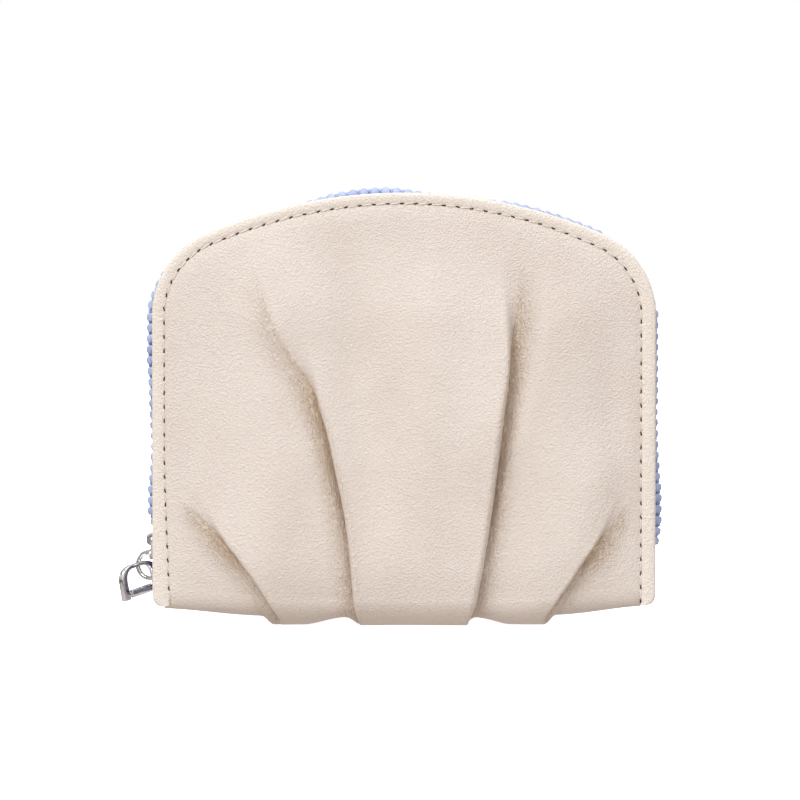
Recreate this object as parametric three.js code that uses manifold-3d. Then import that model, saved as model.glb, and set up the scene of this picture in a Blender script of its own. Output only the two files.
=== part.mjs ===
// Zip-round coin purse of leather with a gathered front.
// Millimetres. The origin is on the floor under the middle of the purse, +Z is up and the front faces -Y.
import * as THREE from "three";
import Module from "manifold-3d";
import { mergeVertices } from "three/addons/utils/BufferGeometryUtils.js";

const wasm = await Module();
wasm.setup();

// Body
const bodyWidth = 114.5;
const bodyHeight = 98.4;
const shoulderHeight = 70.5; // where the straight sides turn into the arch
const shoulderRound = 0.724; // the shoulder's radius as a share of the arch's rise
const gussetDepth = 14; // between the inner faces of the two rims
const leather = 1.3;
const clearance = 0.3; // between pieces that touch on the real purse

// Rims
const rimWidth = 2.9;
const rimDepth = 2.5;
const rimBevel = 0.7;
const rimFootLeft = 4.3; // height of the rim's end at the left
const rimFootRight = 5.2;
const rimFootReach = 7; // height of the rounding at the rim's end

// Panels
const panelSink = 0.3; // the panel's edge lies this deep under the rim's face
const seamRise = 0.85; // quick swell beside the stitching
const seamSwell = 1.9; // distance over which the seam's swell builds up
const frontBelly = 3.4;
const backBelly = 1.8;
const bellyReach = 26; // distance from the edge where the belly is full
const hemTurn = 4.6; // height over which the bottom turns under
const hemRise = 1.2; // the turned hem's corner lies this high above the base
const footDrop = 1.6; // the face comes in by this much towards the hem
const footReach = 19; // height below which it does so
const pleatRise = 2.9; // height of a pleat's edge over the leather that it covers
const pleatUnder = 0.5; // share of that rise which the inner face follows
const pleatLean = 0.4; // how far a crisp edge leans over the leather beside it
const pleatRoll = 0.3; // how far it bulges over, as a share of its height
const edgeSoft = 5; // width of a pleat's edge where it is soft
const edgeCrisp = 1.5; // and where it is crisp
const valleyDepth = 2; // of the hollow along a fold
const valleyWide = 10; // width of that hollow near the fold's top
const valleyNarrow = 3.2; // and near its foot

// Base
const baseInset = 2.6; // from the side of the body to the end of the base
const baseRise = 1.9; // height of the base above the floor between the pleats

// Zip
const toothPitch = 2.46;
const toothProud = 1.8; // height of a tooth over the tape
const toothRoot = 1.6; // length of a tooth along the zip at its root
const toothTip = 0.7; // and at its tip
const toothReach = 0.9; // how far a tooth passes the middle of the zip
const toothBack = 3.2; // distance of a tooth's root from the middle of the zip
const toothSink = 0.4; // depth of a tooth's foot in the tape
const tapeThickness = 0.8;
const tapeSteps = 34; // sections of a tape, and of the base below
const baseSteps = 44;
const tapeSlit = 2 * (toothReach + clearance); // between the two tapes
const zipBottomRight = 16.6; // height of the last tooth at the right

// Slider and pull
const sliderLow = 16.3;
const sliderHigh = 22;
const sliderWidth = 7.6;
const sliderPlate = 0.9;
const sliderPost = 1;
const sliderCorner = 1.6;
const weld = 0.2; // shapes that are fused reach into each other by this much
const bridgeLow = 17.6;
const bridgeHigh = 20.7;
const bridgeBar = 0.65;
const bridgeOpening = 1.3;
const bridgeWidth = 1.6;
const bridgeBend = 0.7;
const tabBar = 0.62;
const tabWidth = 4.8;
const tabLow = 14.4;
const tabEyeThickness = 1;
const tabEyeSide = 0.8; // metal at each side of the eye
const ringRadius = 2.95; // to the middle of the wire
const ringWire = 0.95;
const ringTurn = -30; // degrees about the vertical
const ringLean = 15; // degrees that its middle hangs out of the vertical, away from the purse
const stirrupWidth = 10.4;
const stirrupHeight = 7.7;
const stirrupBar = 1.5;
const stirrupLeg = 1.73; // width of a leg seen from the front
const stirrupToe = 0.2; // how far a leg's foot stands out
const stirrupBevel = 0.25;
const stirrupArch = 0.85; // thickness of the arch's top
const archFlat = 0.25; // share of half the width over which the arch is straight
const archOuter = 0.5; // share of the height where the outer side turns into the arch
const archInner = 0.55; // and the inner side
const stirrupOut = 2.95; // middle of the arch's top from the ring's middle: away from the purse
const stirrupForward = 0.7; // and towards the front
const stirrupUp = 0.5; // and up
const stirrupTilt = 14; // degrees, right side up
const stirrupTurn = 36; // degrees about the vertical
const crossbarRadius = 0.95;
const crossbarNeck = 0.55;
const neckLength = 0.5;
const crossbarLift = 0.2; // above the feet of the legs

const paint = {
  leather: { color: 0xe4d9d0, roughness: 0.55, metalness: 0 },
  tape: { color: 0x93a6d6, roughness: 0.9, metalness: 0 },
  silver: { color: 0xc9c9c6, roughness: 0.2, metalness: 1 },
};

// Pleat folds from left to right. top is the share of the panel's edge, from its left foot round to its
// right foot, where the fold starts. via holds shares of half the body's width and of its height. side is 1
// where the leather at the right of the fold lies on top and -1 where the left does. rise and valley are
// shares of the pleat's rise and of the hollow's depth. As shares of the fold's length, it rises from
// riseFrom to riseTo and goes from soft to crisp from fadeFrom to fadeTo.
const folds = [
  {
    top: 0.08, side: 1, rise: 0.85, valley: 0.3, riseFrom: 0.02, riseTo: 0.8, fadeFrom: 0, fadeTo: 0.45,
    via: [[-0.821, 0.261], [-0.73, 0.206], [-0.663, 0.159], [-0.599, 0.106], [-0.545, 0.055]],
  },
  {
    top: 0.35, side: 1, rise: 0.95, valley: 0.85, riseFrom: 0.12, riseTo: 0.75, fadeFrom: 0.22, fadeTo: 0.55,
    via: [[-0.583, 0.806], [-0.52, 0.7], [-0.452, 0.63], [-0.373, 0.561], [-0.306, 0.46], [-0.266, 0.367],
      [-0.226, 0.261], [-0.202, 0.159], [-0.187, 0.055]],
  },
  {
    top: 0.607, side: -1, rise: 1, valley: 1, riseFrom: 0.03, riseTo: 0.65, fadeFrom: 0.08, fadeTo: 0.42,
    via: [[0.452, 0.829], [0.452, 0.76], [0.433, 0.684], [0.409, 0.584], [0.381, 0.476], [0.353, 0.353],
      [0.333, 0.261], [0.302, 0.145], [0.274, 0.055]],
  },
  {
    top: 0.92, side: -1, rise: 0.85, valley: 0.45, riseFrom: 0.02, riseTo: 0.8, fadeFrom: 0, fadeTo: 0.5,
    via: [[0.897, 0.291], [0.829, 0.238], [0.766, 0.192], [0.698, 0.136], [0.655, 0.092], [0.615, 0.055]],
  },
];

// Columns of the front panel in each patch between two folds, as shares of the patch.
const columnShares = [
  [0, 0.3, 0.6, 0.82, 0.94],
  [0, 0.05, 0.1, 0.16, 0.28, 0.44, 0.59, 0.68, 0.78, 0.88],
  [0, 0.04, 0.08, 0.13, 0.22, 0.36, 0.5, 0.64, 0.78, 0.87, 0.92, 0.96],
  [0, 0.12, 0.23, 0.32, 0.4, 0.49, 0.62, 0.76, 0.85, 0.9, 0.95],
  [0, 0.06, 0.18, 0.4, 0.7, 1],
];
const backColumnShares = [
  [0, 0.5], [0, 0.3, 0.59, 0.68, 0.78, 0.88], [0, 0.25, 0.5, 0.75], [0, 0.23, 0.32, 0.4, 0.49, 0.75],
  [0, 0.5, 1],
];
const rowShares = [0, 0.03, 0.09, 0.17, 0.26, 0.36, 0.46, 0.56, 0.66, 0.76, 0.86, 0.94, 1];
const backRowShares = [0, 0.04, 0.14, 0.35, 0.6, 0.85, 1];
const hemShares = [0.25, 0.5, 0.75, 1];
const backHemShares = [0.33, 0.67, 1];

// Underside of the base: share of half the body's width, share of baseRise.
// It dips where a pleat passes under.
const baseProfile = [
  [-1, 1.95], [-0.57, 1.1], [-0.52, 0], [-0.4, 0], [-0.235, 0.95], [-0.17, 0],
  [0.235, 0], [0.285, 0.9], [0.43, 0], [0.56, 0], [0.61, 1.2], [1, 2.35],
];

// How far the teeth stand outside the leather: share of the zip's path from the left foot, share of
// toothProud.
const zipBow = [
  [0, -0.9], [0.03, -0.75], [0.062, -0.75], [0.068, 0.35], [0.076, 0.62], [0.09, 0.62], [0.105, 0.45],
  [0.13, 0.35], [0.17, 0.65], [0.21, 0.95], [0.245, 0.9], [0.275, -0.2], [0.41, -0.2], [0.45, 0.85], [0.5, 0.85],
  [0.53, 0], [0.555, -0.05], [0.6, 0.4], [0.665, 0.4], [0.7, -0.2], [0.745, -0.2], [0.77, 0.9],
  [0.93, 0.85], [0.955, 0.5], [0.965, 0], [1, -0.3],
];

// The outline: straight sides, two shoulder arcs and one arc over the top, each tangent to the next.
const archRise = bodyHeight - shoulderHeight;
const shoulderRadius = shoulderRound * archRise;
const shoulderX = bodyWidth / 2 - shoulderRadius;
const archRadius = (shoulderX ** 2 + archRise ** 2 - shoulderRadius ** 2) / (2 * (archRise - shoulderRadius));
const archCentre = bodyHeight - archRadius;
const archAngle = Math.asin(shoulderX / (archRadius - shoulderRadius));
const panelInset = rimWidth + clearance;
const rimFace = gussetDepth / 2 + rimDepth;
const panelFoot = rimFootLeft + hemTurn + 2;

function outlinePath(inset, leftFoot, rightFoot) {
  const half = bodyWidth / 2 - inset;
  const shoulder = shoulderRadius - inset;
  const path = new THREE.Path();
  path.moveTo(-half, leftFoot);
  path.lineTo(-half, shoulderHeight);
  path.absarc(-shoulderX, shoulderHeight, shoulder, Math.PI, Math.PI / 2 + archAngle, true);
  path.absarc(0, archCentre, archRadius - inset, Math.PI / 2 + archAngle, Math.PI / 2 - archAngle, true);
  path.absarc(shoulderX, shoulderHeight, shoulder, Math.PI / 2 - archAngle, 0, true);
  path.lineTo(half, rightFoot);
  return path;
}

function edgeDistance(x, z) {
  const across = Math.abs(x) - shoulderX;
  const up = z - shoulderHeight;
  if (up > 0 && across > 0 && Math.atan2(up, across) < Math.PI / 2 - archAngle) {
    return shoulderRadius - panelInset - Math.hypot(across, up);
  }
  const side = bodyWidth / 2 - panelInset - Math.abs(x);
  const top = archRadius - panelInset - Math.hypot(x, z - archCentre);
  return Math.max(0, Math.min(side, top));
}

function smooth(value) {
  const t = Math.min(1, Math.max(0, value));
  return t * t * (3 - 2 * t);
}

function between(from, to, share) {
  return from + (to - from) * share;
}

// Value of a table of [place, value] rows at a place, with soft corners between the rows.
function tableValue(table, place) {
  const next = table.findIndex((row) => row[0] >= place);
  if (next <= 0) {
    return next === 0 ? table[0][1] : table[table.length - 1][1];
  }
  const [fromPlace, fromValue] = table[next - 1];
  const [toPlace, toValue] = table[next];
  return between(fromValue, toValue, smooth((place - fromPlace) / (toPlace - fromPlace)));
}

function baseHeight(x) {
  return baseRise * tableValue(baseProfile, x / (bodyWidth / 2));
}

function hemHeight(x) {
  const side = smooth((Math.abs(x) / (bodyWidth / 2) - 0.45) / 0.5);
  return between(baseRise, Math.max(rimFootLeft, baseHeight(x)), side);
}

// The curves that the panel's columns follow: the two feet and the folds between them.
const panelEdge = outlinePath(panelInset, panelFoot, panelFoot);

function footCurve(edgeShare) {
  const top = panelEdge.getPoint(edgeShare);
  const low = new THREE.Vector2(top.x, hemHeight(top.x) + hemTurn);
  return new THREE.LineCurve(top, low);
}

function foldCurve(fold) {
  const points = fold.via.map(([x, z]) => new THREE.Vector2((x * bodyWidth) / 2, z * bodyHeight));
  return new THREE.SplineCurve([panelEdge.getPoint(fold.top), ...points]);
}

const curves = [footCurve(0), ...folds.map(foldCurve), footCurve(1)];
const curveTops = [0, ...folds.map((fold) => fold.top), 1];

// Sideways run of a curve for each millimetre that it drops, at its lower end.
function endSlope(curve) {
  const above = curve.getPointAt(0.95);
  const low = curve.getPointAt(1);
  return (low.x - above.x) / (above.y - low.y);
}

const curveSlopes = curves.map(endSlope);

// Place in the front view of a column share in a patch and a row share. Lower rows lean towards the hem.
function flatPoint(patch, across, down) {
  const along = (share) => curves[patch].getPointAt(share).lerp(curves[patch + 1].getPointAt(share), across);
  const point = along(down);
  const edge = panelEdge.getPoint(between(curveTops[patch], curveTops[patch + 1], across));
  point.add(edge.sub(along(0)).multiplyScalar((1 - down) ** 3));
  const low = along(1);
  point.y += (hemHeight(low.x) + hemTurn - low.y) * down ** 3;
  return point;
}

// What a fold does to the patch beside it, away millimetres from it. toPatch is 1 where the patch lies at
// its right and -1 at its left. rise is the height beside the fold, step how much of it is reached here.
function foldEffect(fold, away, share, down, toPatch) {
  if (fold === undefined) {
    return { rise: 0, step: 1, lap: 0, dip: 0 };
  }
  const crisp = smooth((down - fold.fadeFrom) / (fold.fadeTo - fold.fadeFrom));
  const rise = pleatRise * fold.rise * smooth((down - fold.riseFrom) / (fold.riseTo - fold.riseFrom));
  const hollow = smooth((down - fold.riseFrom) / 0.35) * between(1, 0.45, smooth((down - 0.65) / 0.3));
  const deep = valleyDepth * fold.valley * hollow;
  if (fold.side !== toPatch) {
    const reach = between(valleyWide, valleyNarrow, smooth((down - 0.3) / 0.5));
    return { rise: 0, step: 1, lap: 0, dip: deep * (1 - smooth(away / reach)) };
  }
  const edge = Math.min(1, away / between(edgeSoft, edgeCrisp, crisp));
  const lean = pleatLean * smooth(edge) * (1 - smooth(2 * share));
  const lap = -toPatch * crisp * (rise * pleatRoll * Math.sin(Math.PI * edge) + lean);
  return { rise, step: smooth(edge), lap, dip: deep * (1 - smooth(edge)) };
}

// Height, sideways overhang and hollow of the pleats at a place, as lengths.
function pleatShape(patch, across, down) {
  const width = curves[patch].getPointAt(down).distanceTo(curves[patch + 1].getPointAt(down));
  const left = foldEffect(folds[patch - 1], across * width, across, down, 1);
  const right = foldEffect(folds[patch], (1 - across) * width, 1 - across, down, -1);
  const sag = left.rise > 0 && right.rise > 0 ? 1 - across * (1 - across) : 1;
  const rise = between(left.rise, right.rise, smooth(across)) * left.step * right.step * sag;
  return { rise, lap: left.lap + right.lap, dip: left.dip + right.dip };
}

function swell(x, z, belly) {
  const distance = edgeDistance(x, z);
  const low = between(0.35, 1, smooth(1.1 - z / bodyHeight));
  const foot = footDrop * (1 - smooth(z / footReach)) ** 2 * smooth(distance / (2 * hemTurn));
  const full = belly * low * smooth(distance / bellyReach);
  return seamRise * (1 - Math.exp(-distance / seamSwell)) + full - foot;
}

// One section of a panel runs down its face and turns under at the hem. depthSign is -1 for the front.
// The inner face lies one leather deeper, has no overhang and follows a pleat's rise only in part.
function panelSurface(patch, across, down, hem, style, inner) {
  const flat = flatPoint(patch, across, down);
  const pleat = style.pleated ? pleatShape(patch, across, down) : { rise: 0, lap: 0, dip: 0 };
  const slope = style.pleated ? between(curveSlopes[patch], curveSlopes[patch + 1], across) : 0;
  const offset = inner ? leather : 0;
  const lap = inner ? 0 : pleat.lap;
  const rise = (inner ? pleatUnder : 1) * pleat.rise * (1 - hem * hem);
  const face = rimFace - panelSink + swell(flat.x, flat.y, style.belly) - pleat.dip - offset;
  if (hem === 0) {
    return new THREE.Vector3(flat.x + lap, style.depthSign * (face + rise), flat.y);
  }
  const foot = flat.x + slope * (flat.y - hemHeight(flat.x));
  const back = gussetDepth / 2;
  const end = baseHeight(foot) + offset;
  const corner = hemHeight(foot) - baseRise + hemRise + offset;
  const stay = (1 - hem) ** 2;
  const turn = 2 * hem * (1 - hem);
  const depth = face * (stay + turn) + back * hem * hem;
  const height = flat.y * stay + corner * turn + end * hem * hem;
  const x = flat.x + slope * (flat.y - Math.max(height, hemHeight(foot))) + lap * (1 - smooth(hem));
  const under = smooth(hem);
  const low = Math.max(offset, height - rise * under);
  return new THREE.Vector3(x, style.depthSign * (depth + rise * (1 - under)), low);
}

// A closed wall from an outer and an inner grid of points.
function wallGeometry(columns, rows, outerPoint, innerPoint, turned) {
  const positions = [];
  for (const pointAt of [outerPoint, innerPoint]) {
    for (let i = 0; i < columns; i += 1) {
      for (let j = 0; j < rows; j += 1) {
        positions.push(...pointAt(i, j).toArray());
      }
    }
  }
  const outer = (i, j) => i * rows + j;
  const inner = (i, j) => columns * rows + i * rows + j;
  const indices = [];
  const quad = (a, b, c, d) => {
    indices.push(...(turned ? [a, c, b, a, d, c] : [a, b, c, a, c, d]));
  };
  for (let i = 0; i + 1 < columns; i += 1) {
    for (let j = 0; j + 1 < rows; j += 1) {
      quad(outer(i, j), outer(i, j + 1), outer(i + 1, j + 1), outer(i + 1, j));
      quad(inner(i, j), inner(i + 1, j), inner(i + 1, j + 1), inner(i, j + 1));
    }
    quad(outer(i, 0), outer(i + 1, 0), inner(i + 1, 0), inner(i, 0));
    quad(outer(i, rows - 1), inner(i, rows - 1), inner(i + 1, rows - 1), outer(i + 1, rows - 1));
  }
  for (let j = 0; j + 1 < rows; j += 1) {
    quad(outer(0, j), inner(0, j), inner(0, j + 1), outer(0, j + 1));
    quad(outer(columns - 1, j), outer(columns - 1, j + 1), inner(columns - 1, j + 1), inner(columns - 1, j));
  }
  const geometry = new THREE.BufferGeometry();
  geometry.setAttribute("position", new THREE.Float32BufferAttribute(positions, 3));
  geometry.setIndex(indices);
  return geometry;
}

function panelGeometry(style) {
  const columns = style.columns.flatMap((shares, patch) => shares.map((across) => ({ patch, across })));
  const rows = [
    ...style.rows.map((down) => ({ down, hem: 0 })),
    ...style.hems.map((hem) => ({ down: 1, hem })),
  ];
  const pointAt = (inner) => (i, j) => {
    const { patch, across } = columns[i];
    return panelSurface(patch, across, rows[j].down, rows[j].hem, style, inner);
  };
  return wallGeometry(columns.length, rows.length, pointAt(false), pointAt(true), style.depthSign > 0);
}

function frontPanel() {
  const style = {
    pleated: true, belly: frontBelly, depthSign: -1, columns: columnShares, rows: rowShares, hems: hemShares,
  };
  return panelGeometry(style);
}

function backPanel() {
  const style = {
    pleated: false, belly: backBelly, depthSign: 1,
    columns: backColumnShares, rows: backRowShares, hems: backHemShares,
  };
  return panelGeometry(style);
}

// Turns an extrusion of a front-view shape so that it reaches from one depth to another.
function standUp(geometry, fromDepth) {
  geometry.translate(0, 0, -fromDepth);
  geometry.rotateX(Math.PI / 2);
  return geometry;
}

// A closed solid through a row of sections, each a ring of the same number of points.
function loftGeometry(rings) {
  const count = rings[0].length;
  const positions = rings.flat().flatMap((point) => point.toArray());
  const indices = [];
  for (let i = 0; i + 1 < rings.length; i += 1) {
    for (let k = 0; k < count; k += 1) {
      const a = i * count + k;
      const b = i * count + ((k + 1) % count);
      indices.push(a, b, b + count, a, b + count, a + count);
    }
  }
  const last = (rings.length - 1) * count;
  for (let k = 1; k + 1 < count; k += 1) {
    indices.push(0, k + 1, k, last, last + k, last + k + 1);
  }
  const geometry = new THREE.BufferGeometry();
  geometry.setAttribute("position", new THREE.Float32BufferAttribute(positions, 3));
  geometry.setIndex(indices);
  return geometry;
}

// A ring of points across a strip that follows an outline: pairs of inset and depth at a place on it.
function stripRing({ point, outward }, pairs) {
  return pairs.map(([inset, depth]) => {
    const place = point.clone().sub(outward.clone().multiplyScalar(inset));
    return new THREE.Vector3(place.x, depth, place.y);
  });
}

// Shares of an outline: dense on its round stretches, sparse on its straight sides.
function outlineShares(path, arcSteps) {
  const lengths = path.getCurveLengths();
  const total = lengths[lengths.length - 1];
  const shares = [];
  path.curves.forEach((curve, i) => {
    const from = i === 0 ? 0 : lengths[i - 1];
    const steps = curve.isLineCurve ? 1 : arcSteps;
    for (let k = 0; k < steps && lengths[i] - from > clearance; k += 1) {
      shares.push(between(from, lengths[i], k / steps) / total);
    }
  });
  return [...shares.slice(1), 1].slice(0, -1);
}

function outlinePlace(path, share) {
  const point = path.getPoint(share);
  const tangent = path.getTangent(share);
  return { point, tangent, outward: new THREE.Vector2(-tangent.y, tangent.x) };
}

// The rim narrows to a round end at each foot.
function rimGeometry(fromDepth) {
  const path = outlinePath(0, rimFootLeft, rimFootRight);
  const length = path.getLength();
  const footSteps = [0.985, 0.9, 0.7, 0.4, 0];
  const footShare = footSteps.map((lowered) => ({ lowered, share: (rimFootReach * (1 - lowered)) / length }));
  const arcs = outlineShares(path, 6).map((share) => ({ lowered: 0, share }));
  const mirrored = footShare.map(({ lowered, share }) => ({ lowered, share: 1 - share })).reverse();
  const rings = [...footShare, ...arcs, ...mirrored].map(({ lowered, share }) => {
    const outer = rimWidth * (1 - Math.sqrt(1 - lowered ** 2));
    const bevel = Math.min(rimBevel, (rimWidth - outer) / 3);
    const toDepth = fromDepth + rimDepth;
    return stripRing(outlinePlace(path, share), [
      [outer + bevel, fromDepth], [rimWidth - bevel, fromDepth],
      [rimWidth, fromDepth + bevel], [rimWidth, toDepth - bevel],
      [rimWidth - bevel, toDepth], [outer + bevel, toDepth],
      [outer, toDepth - bevel], [outer, fromDepth + bevel],
    ]);
  });
  return loftGeometry(rings);
}

function baseGeometry() {
  const reach = bodyWidth / 2 - baseInset;
  const depth = gussetDepth / 2 - clearance;
  const rings = [];
  for (let i = 0; i <= baseSteps; i += 1) {
    const x = between(-reach, reach, i / baseSteps);
    const low = baseHeight(x);
    rings.push([
      new THREE.Vector3(x, -depth, low), new THREE.Vector3(x, depth, low),
      new THREE.Vector3(x, depth, low + leather), new THREE.Vector3(x, -depth, low + leather),
    ]);
  }
  return loftGeometry(rings);
}

function solidOf(geometry) {
  const bare = geometry.clone();
  bare.deleteAttribute("normal");
  bare.deleteAttribute("uv");
  const merged = mergeVertices(bare, 1e-4);
  const mesh = new wasm.Mesh({
    numProp: 3,
    vertProperties: new Float32Array(merged.attributes.position.array),
    triVerts: new Uint32Array(merged.index.array),
  });
  return new wasm.Manifold(mesh);
}

function geometryOf(solid) {
  const mesh = solid.getMesh();
  const geometry = new THREE.BufferGeometry();
  geometry.setAttribute("position", new THREE.BufferAttribute(mesh.vertProperties, 3));
  geometry.setIndex(new THREE.BufferAttribute(mesh.triVerts, 1));
  return geometry;
}

function fused(geometries) {
  return geometryOf(geometries.map(solidOf).reduce((sum, next) => sum.add(next)));
}

// The zip runs round the outline. A place on it is the point on the tape's outer face and the way outward.
const zipPath = outlinePath(0, baseHeight(-bodyWidth / 2) + leather, baseHeight(bodyWidth / 2) + leather);
const zipLength = zipPath.getLength();

function zipPlace(share) {
  const place = outlinePlace(zipPath, share);
  place.point.add(place.outward.clone().multiplyScalar(toothProud * (tableValue(zipBow, share) - 1)));
  return place;
}

const endStep = clearance / zipLength;
const sliderStart = (sliderLow - clearance - zipPath.getPoint(0).y) / zipLength;
const zipStart = (sliderHigh + clearance + toothRoot / 2 - zipPath.getPoint(0).y) / zipLength;
const zipEnd = 1 - (zipBottomRight - zipPath.getPoint(1).y) / zipLength;
const toothCount = Math.floor(((zipEnd - zipStart) * zipLength) / toothPitch);

// The slit between the tapes is wide along the teeth and the slider, and all but shut at both ends.
function halfSlit(share) {
  const open = share > sliderStart - endStep && share < zipEnd + endStep;
  return open ? tapeSlit / 2 : clearance;
}

function tapeGeometry(side) {
  const endGap = (clearance + tapeThickness) / zipLength;
  const shares = [sliderStart - 2 * endStep, sliderStart, zipEnd, zipEnd + 2 * endStep];
  for (let i = 0; i <= tapeSteps; i += 1) {
    shares.push(between(endGap, 1 - endGap, i / tapeSteps));
  }
  shares.push(...zipBow.slice(1, -1).map((row) => row[0]));
  const rings = shares.sort((a, b) => a - b).map((share) => {
    const depths = [side * (gussetDepth / 2 - clearance), side * halfSlit(share)];
    const from = Math.min(...depths);
    const to = Math.max(...depths);
    return stripRing(zipPlace(share), [[0, from], [tapeThickness, from], [tapeThickness, to], [0, to]]);
  });
  return loftGeometry(rings);
}

// A tooth tapers from its root to its tip and stands on the tape, so that two rows fit between each other.
function toothGeometry(side, share) {
  const shape = new THREE.Shape();
  shape.moveTo(-toothRoot / 2, -toothBack);
  shape.lineTo(toothRoot / 2, -toothBack);
  shape.lineTo(toothTip / 2, toothReach);
  shape.lineTo(-toothTip / 2, toothReach);
  shape.closePath();
  const depth = toothProud + toothSink;
  const geometry = new THREE.ExtrudeGeometry(shape, { depth, bevelEnabled: false });
  geometry.translate(0, 0, -toothSink);
  const { point, tangent, outward } = zipPlace(share);
  const along = new THREE.Vector3(tangent.x, 0, tangent.y).normalize();
  const out = new THREE.Vector3(outward.x, 0, outward.y).normalize();
  const turn = side < 0 ? along : along.clone().negate();
  const frame = new THREE.Matrix4().makeBasis(turn, new THREE.Vector3().crossVectors(out, turn), out);
  frame.setPosition(point.x, 0, point.y);
  return geometry.applyMatrix4(frame);
}

function zipHalf(side) {
  const pieces = [tapeGeometry(side)];
  for (let i = 0; i < toothCount; i += 1) {
    const step = side < 0 ? i : i + 0.5;
    pieces.push(toothGeometry(side, zipStart + (step * toothPitch) / zipLength));
  }
  return fused(pieces);
}

// The slider sits near the foot of the left side. One plate lies outside the teeth, one inside the tapes.
const sliderShare = ((sliderLow + sliderHigh) / 2 - zipPath.getPoint(0).y) / zipLength;
const sliderFace = zipPlace(sliderShare).point.x;
const plateInner = sliderFace - toothProud - clearance;
const plateOuter = plateInner - sliderPlate;

function boxBetween(low, high) {
  const size = new THREE.Vector3().subVectors(high, low);
  const middle = new THREE.Vector3().addVectors(low, high).multiplyScalar(0.5);
  return new THREE.BoxGeometry(size.x, size.y, size.z).translate(middle.x, middle.y, middle.z);
}

// A plate with round corners in the side view, reaching from one x to another.
function sidePlate(fromX, toX, halfWidth, low, high, corner) {
  const shape = new THREE.Shape();
  shape.moveTo(-halfWidth + corner, low);
  shape.absarc(halfWidth - corner, low + corner, corner, -Math.PI / 2, 0, false);
  shape.absarc(halfWidth - corner, high - corner, corner, 0, Math.PI / 2, false);
  shape.absarc(-halfWidth + corner, high - corner, corner, Math.PI / 2, Math.PI, false);
  shape.absarc(-halfWidth + corner, low + corner, corner, Math.PI, 1.5 * Math.PI, false);
  return sideExtrusion(shape, fromX, toX);
}

// A shape drawn in the side view, depth to the right and height up, reaching from one x to another.
function sideExtrusion(shape, fromX, toX) {
  const depth = toX - fromX;
  const geometry = new THREE.ExtrudeGeometry(shape, { depth, bevelEnabled: false, curveSegments: 3 });
  const turned = new THREE.Matrix4().makeBasis(
    new THREE.Vector3(0, 1, 0),
    new THREE.Vector3(0, 0, 1),
    new THREE.Vector3(1, 0, 0),
  );
  return geometry.applyMatrix4(turned).translate(fromX, 0, 0);
}

function sliderGeometry() {
  const half = sliderWidth / 2;
  const tapeInner = sliderFace + tapeThickness + clearance;
  const plate = [half, sliderLow, sliderHigh, sliderCorner];
  const outerPlate = sidePlate(plateOuter, plateInner, ...plate);
  const innerPlate = sidePlate(tapeInner, tapeInner + sliderPlate, ...plate);
  const post = boxBetween(
    new THREE.Vector3(plateInner - weld, -sliderPost / 2, sliderLow + sliderCorner / 2),
    new THREE.Vector3(tapeInner + weld, sliderPost / 2, sliderHigh - sliderCorner),
  );
  const railFace = sliderFace - clearance;
  const rails = [-1, 1].map((side) => boxBetween(
    new THREE.Vector3(plateInner - weld, side * half - (side > 0 ? bridgeBar : 0), sliderLow + sliderCorner),
    new THREE.Vector3(railFace, side * half + (side > 0 ? 0 : bridgeBar), sliderHigh - sliderCorner),
  ));
  const arch = new THREE.Shape();
  const archOut = plateOuter - bridgeOpening - bridgeBar;
  arch.moveTo(plateOuter + weld, bridgeLow);
  arch.lineTo(plateOuter + weld, bridgeHigh);
  arch.lineTo(archOut + bridgeBend, bridgeHigh);
  arch.lineTo(archOut, bridgeHigh - bridgeBend);
  arch.lineTo(archOut, bridgeLow + bridgeBend);
  arch.lineTo(archOut + bridgeBend, bridgeLow);
  arch.closePath();
  const hole = new THREE.Path();
  hole.moveTo(plateOuter, bridgeLow + bridgeBar);
  hole.lineTo(plateOuter - bridgeOpening, bridgeLow + bridgeBar);
  hole.lineTo(plateOuter - bridgeOpening, bridgeHigh - bridgeBar);
  hole.lineTo(plateOuter, bridgeHigh - bridgeBar);
  hole.closePath();
  arch.holes.push(hole);
  const bridge = standUp(
    new THREE.ExtrudeGeometry(arch, { depth: bridgeWidth, bevelEnabled: false }),
    bridgeWidth / 2,
  );
  return fused([outerPlate, innerPlate, post, ...rails, bridge]);
}

// The tab hangs with its bar under the bridge. Its eye takes the ring.
const hingeX = plateOuter - bridgeOpening / 2;
const hingeZ = bridgeLow + bridgeBar + clearance + tabBar / 2;
const eyeTop = bridgeLow - clearance;
const eyeZ = (eyeTop + tabLow) / 2;
const eyeHalf = (eyeTop - tabLow) / 2;

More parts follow.
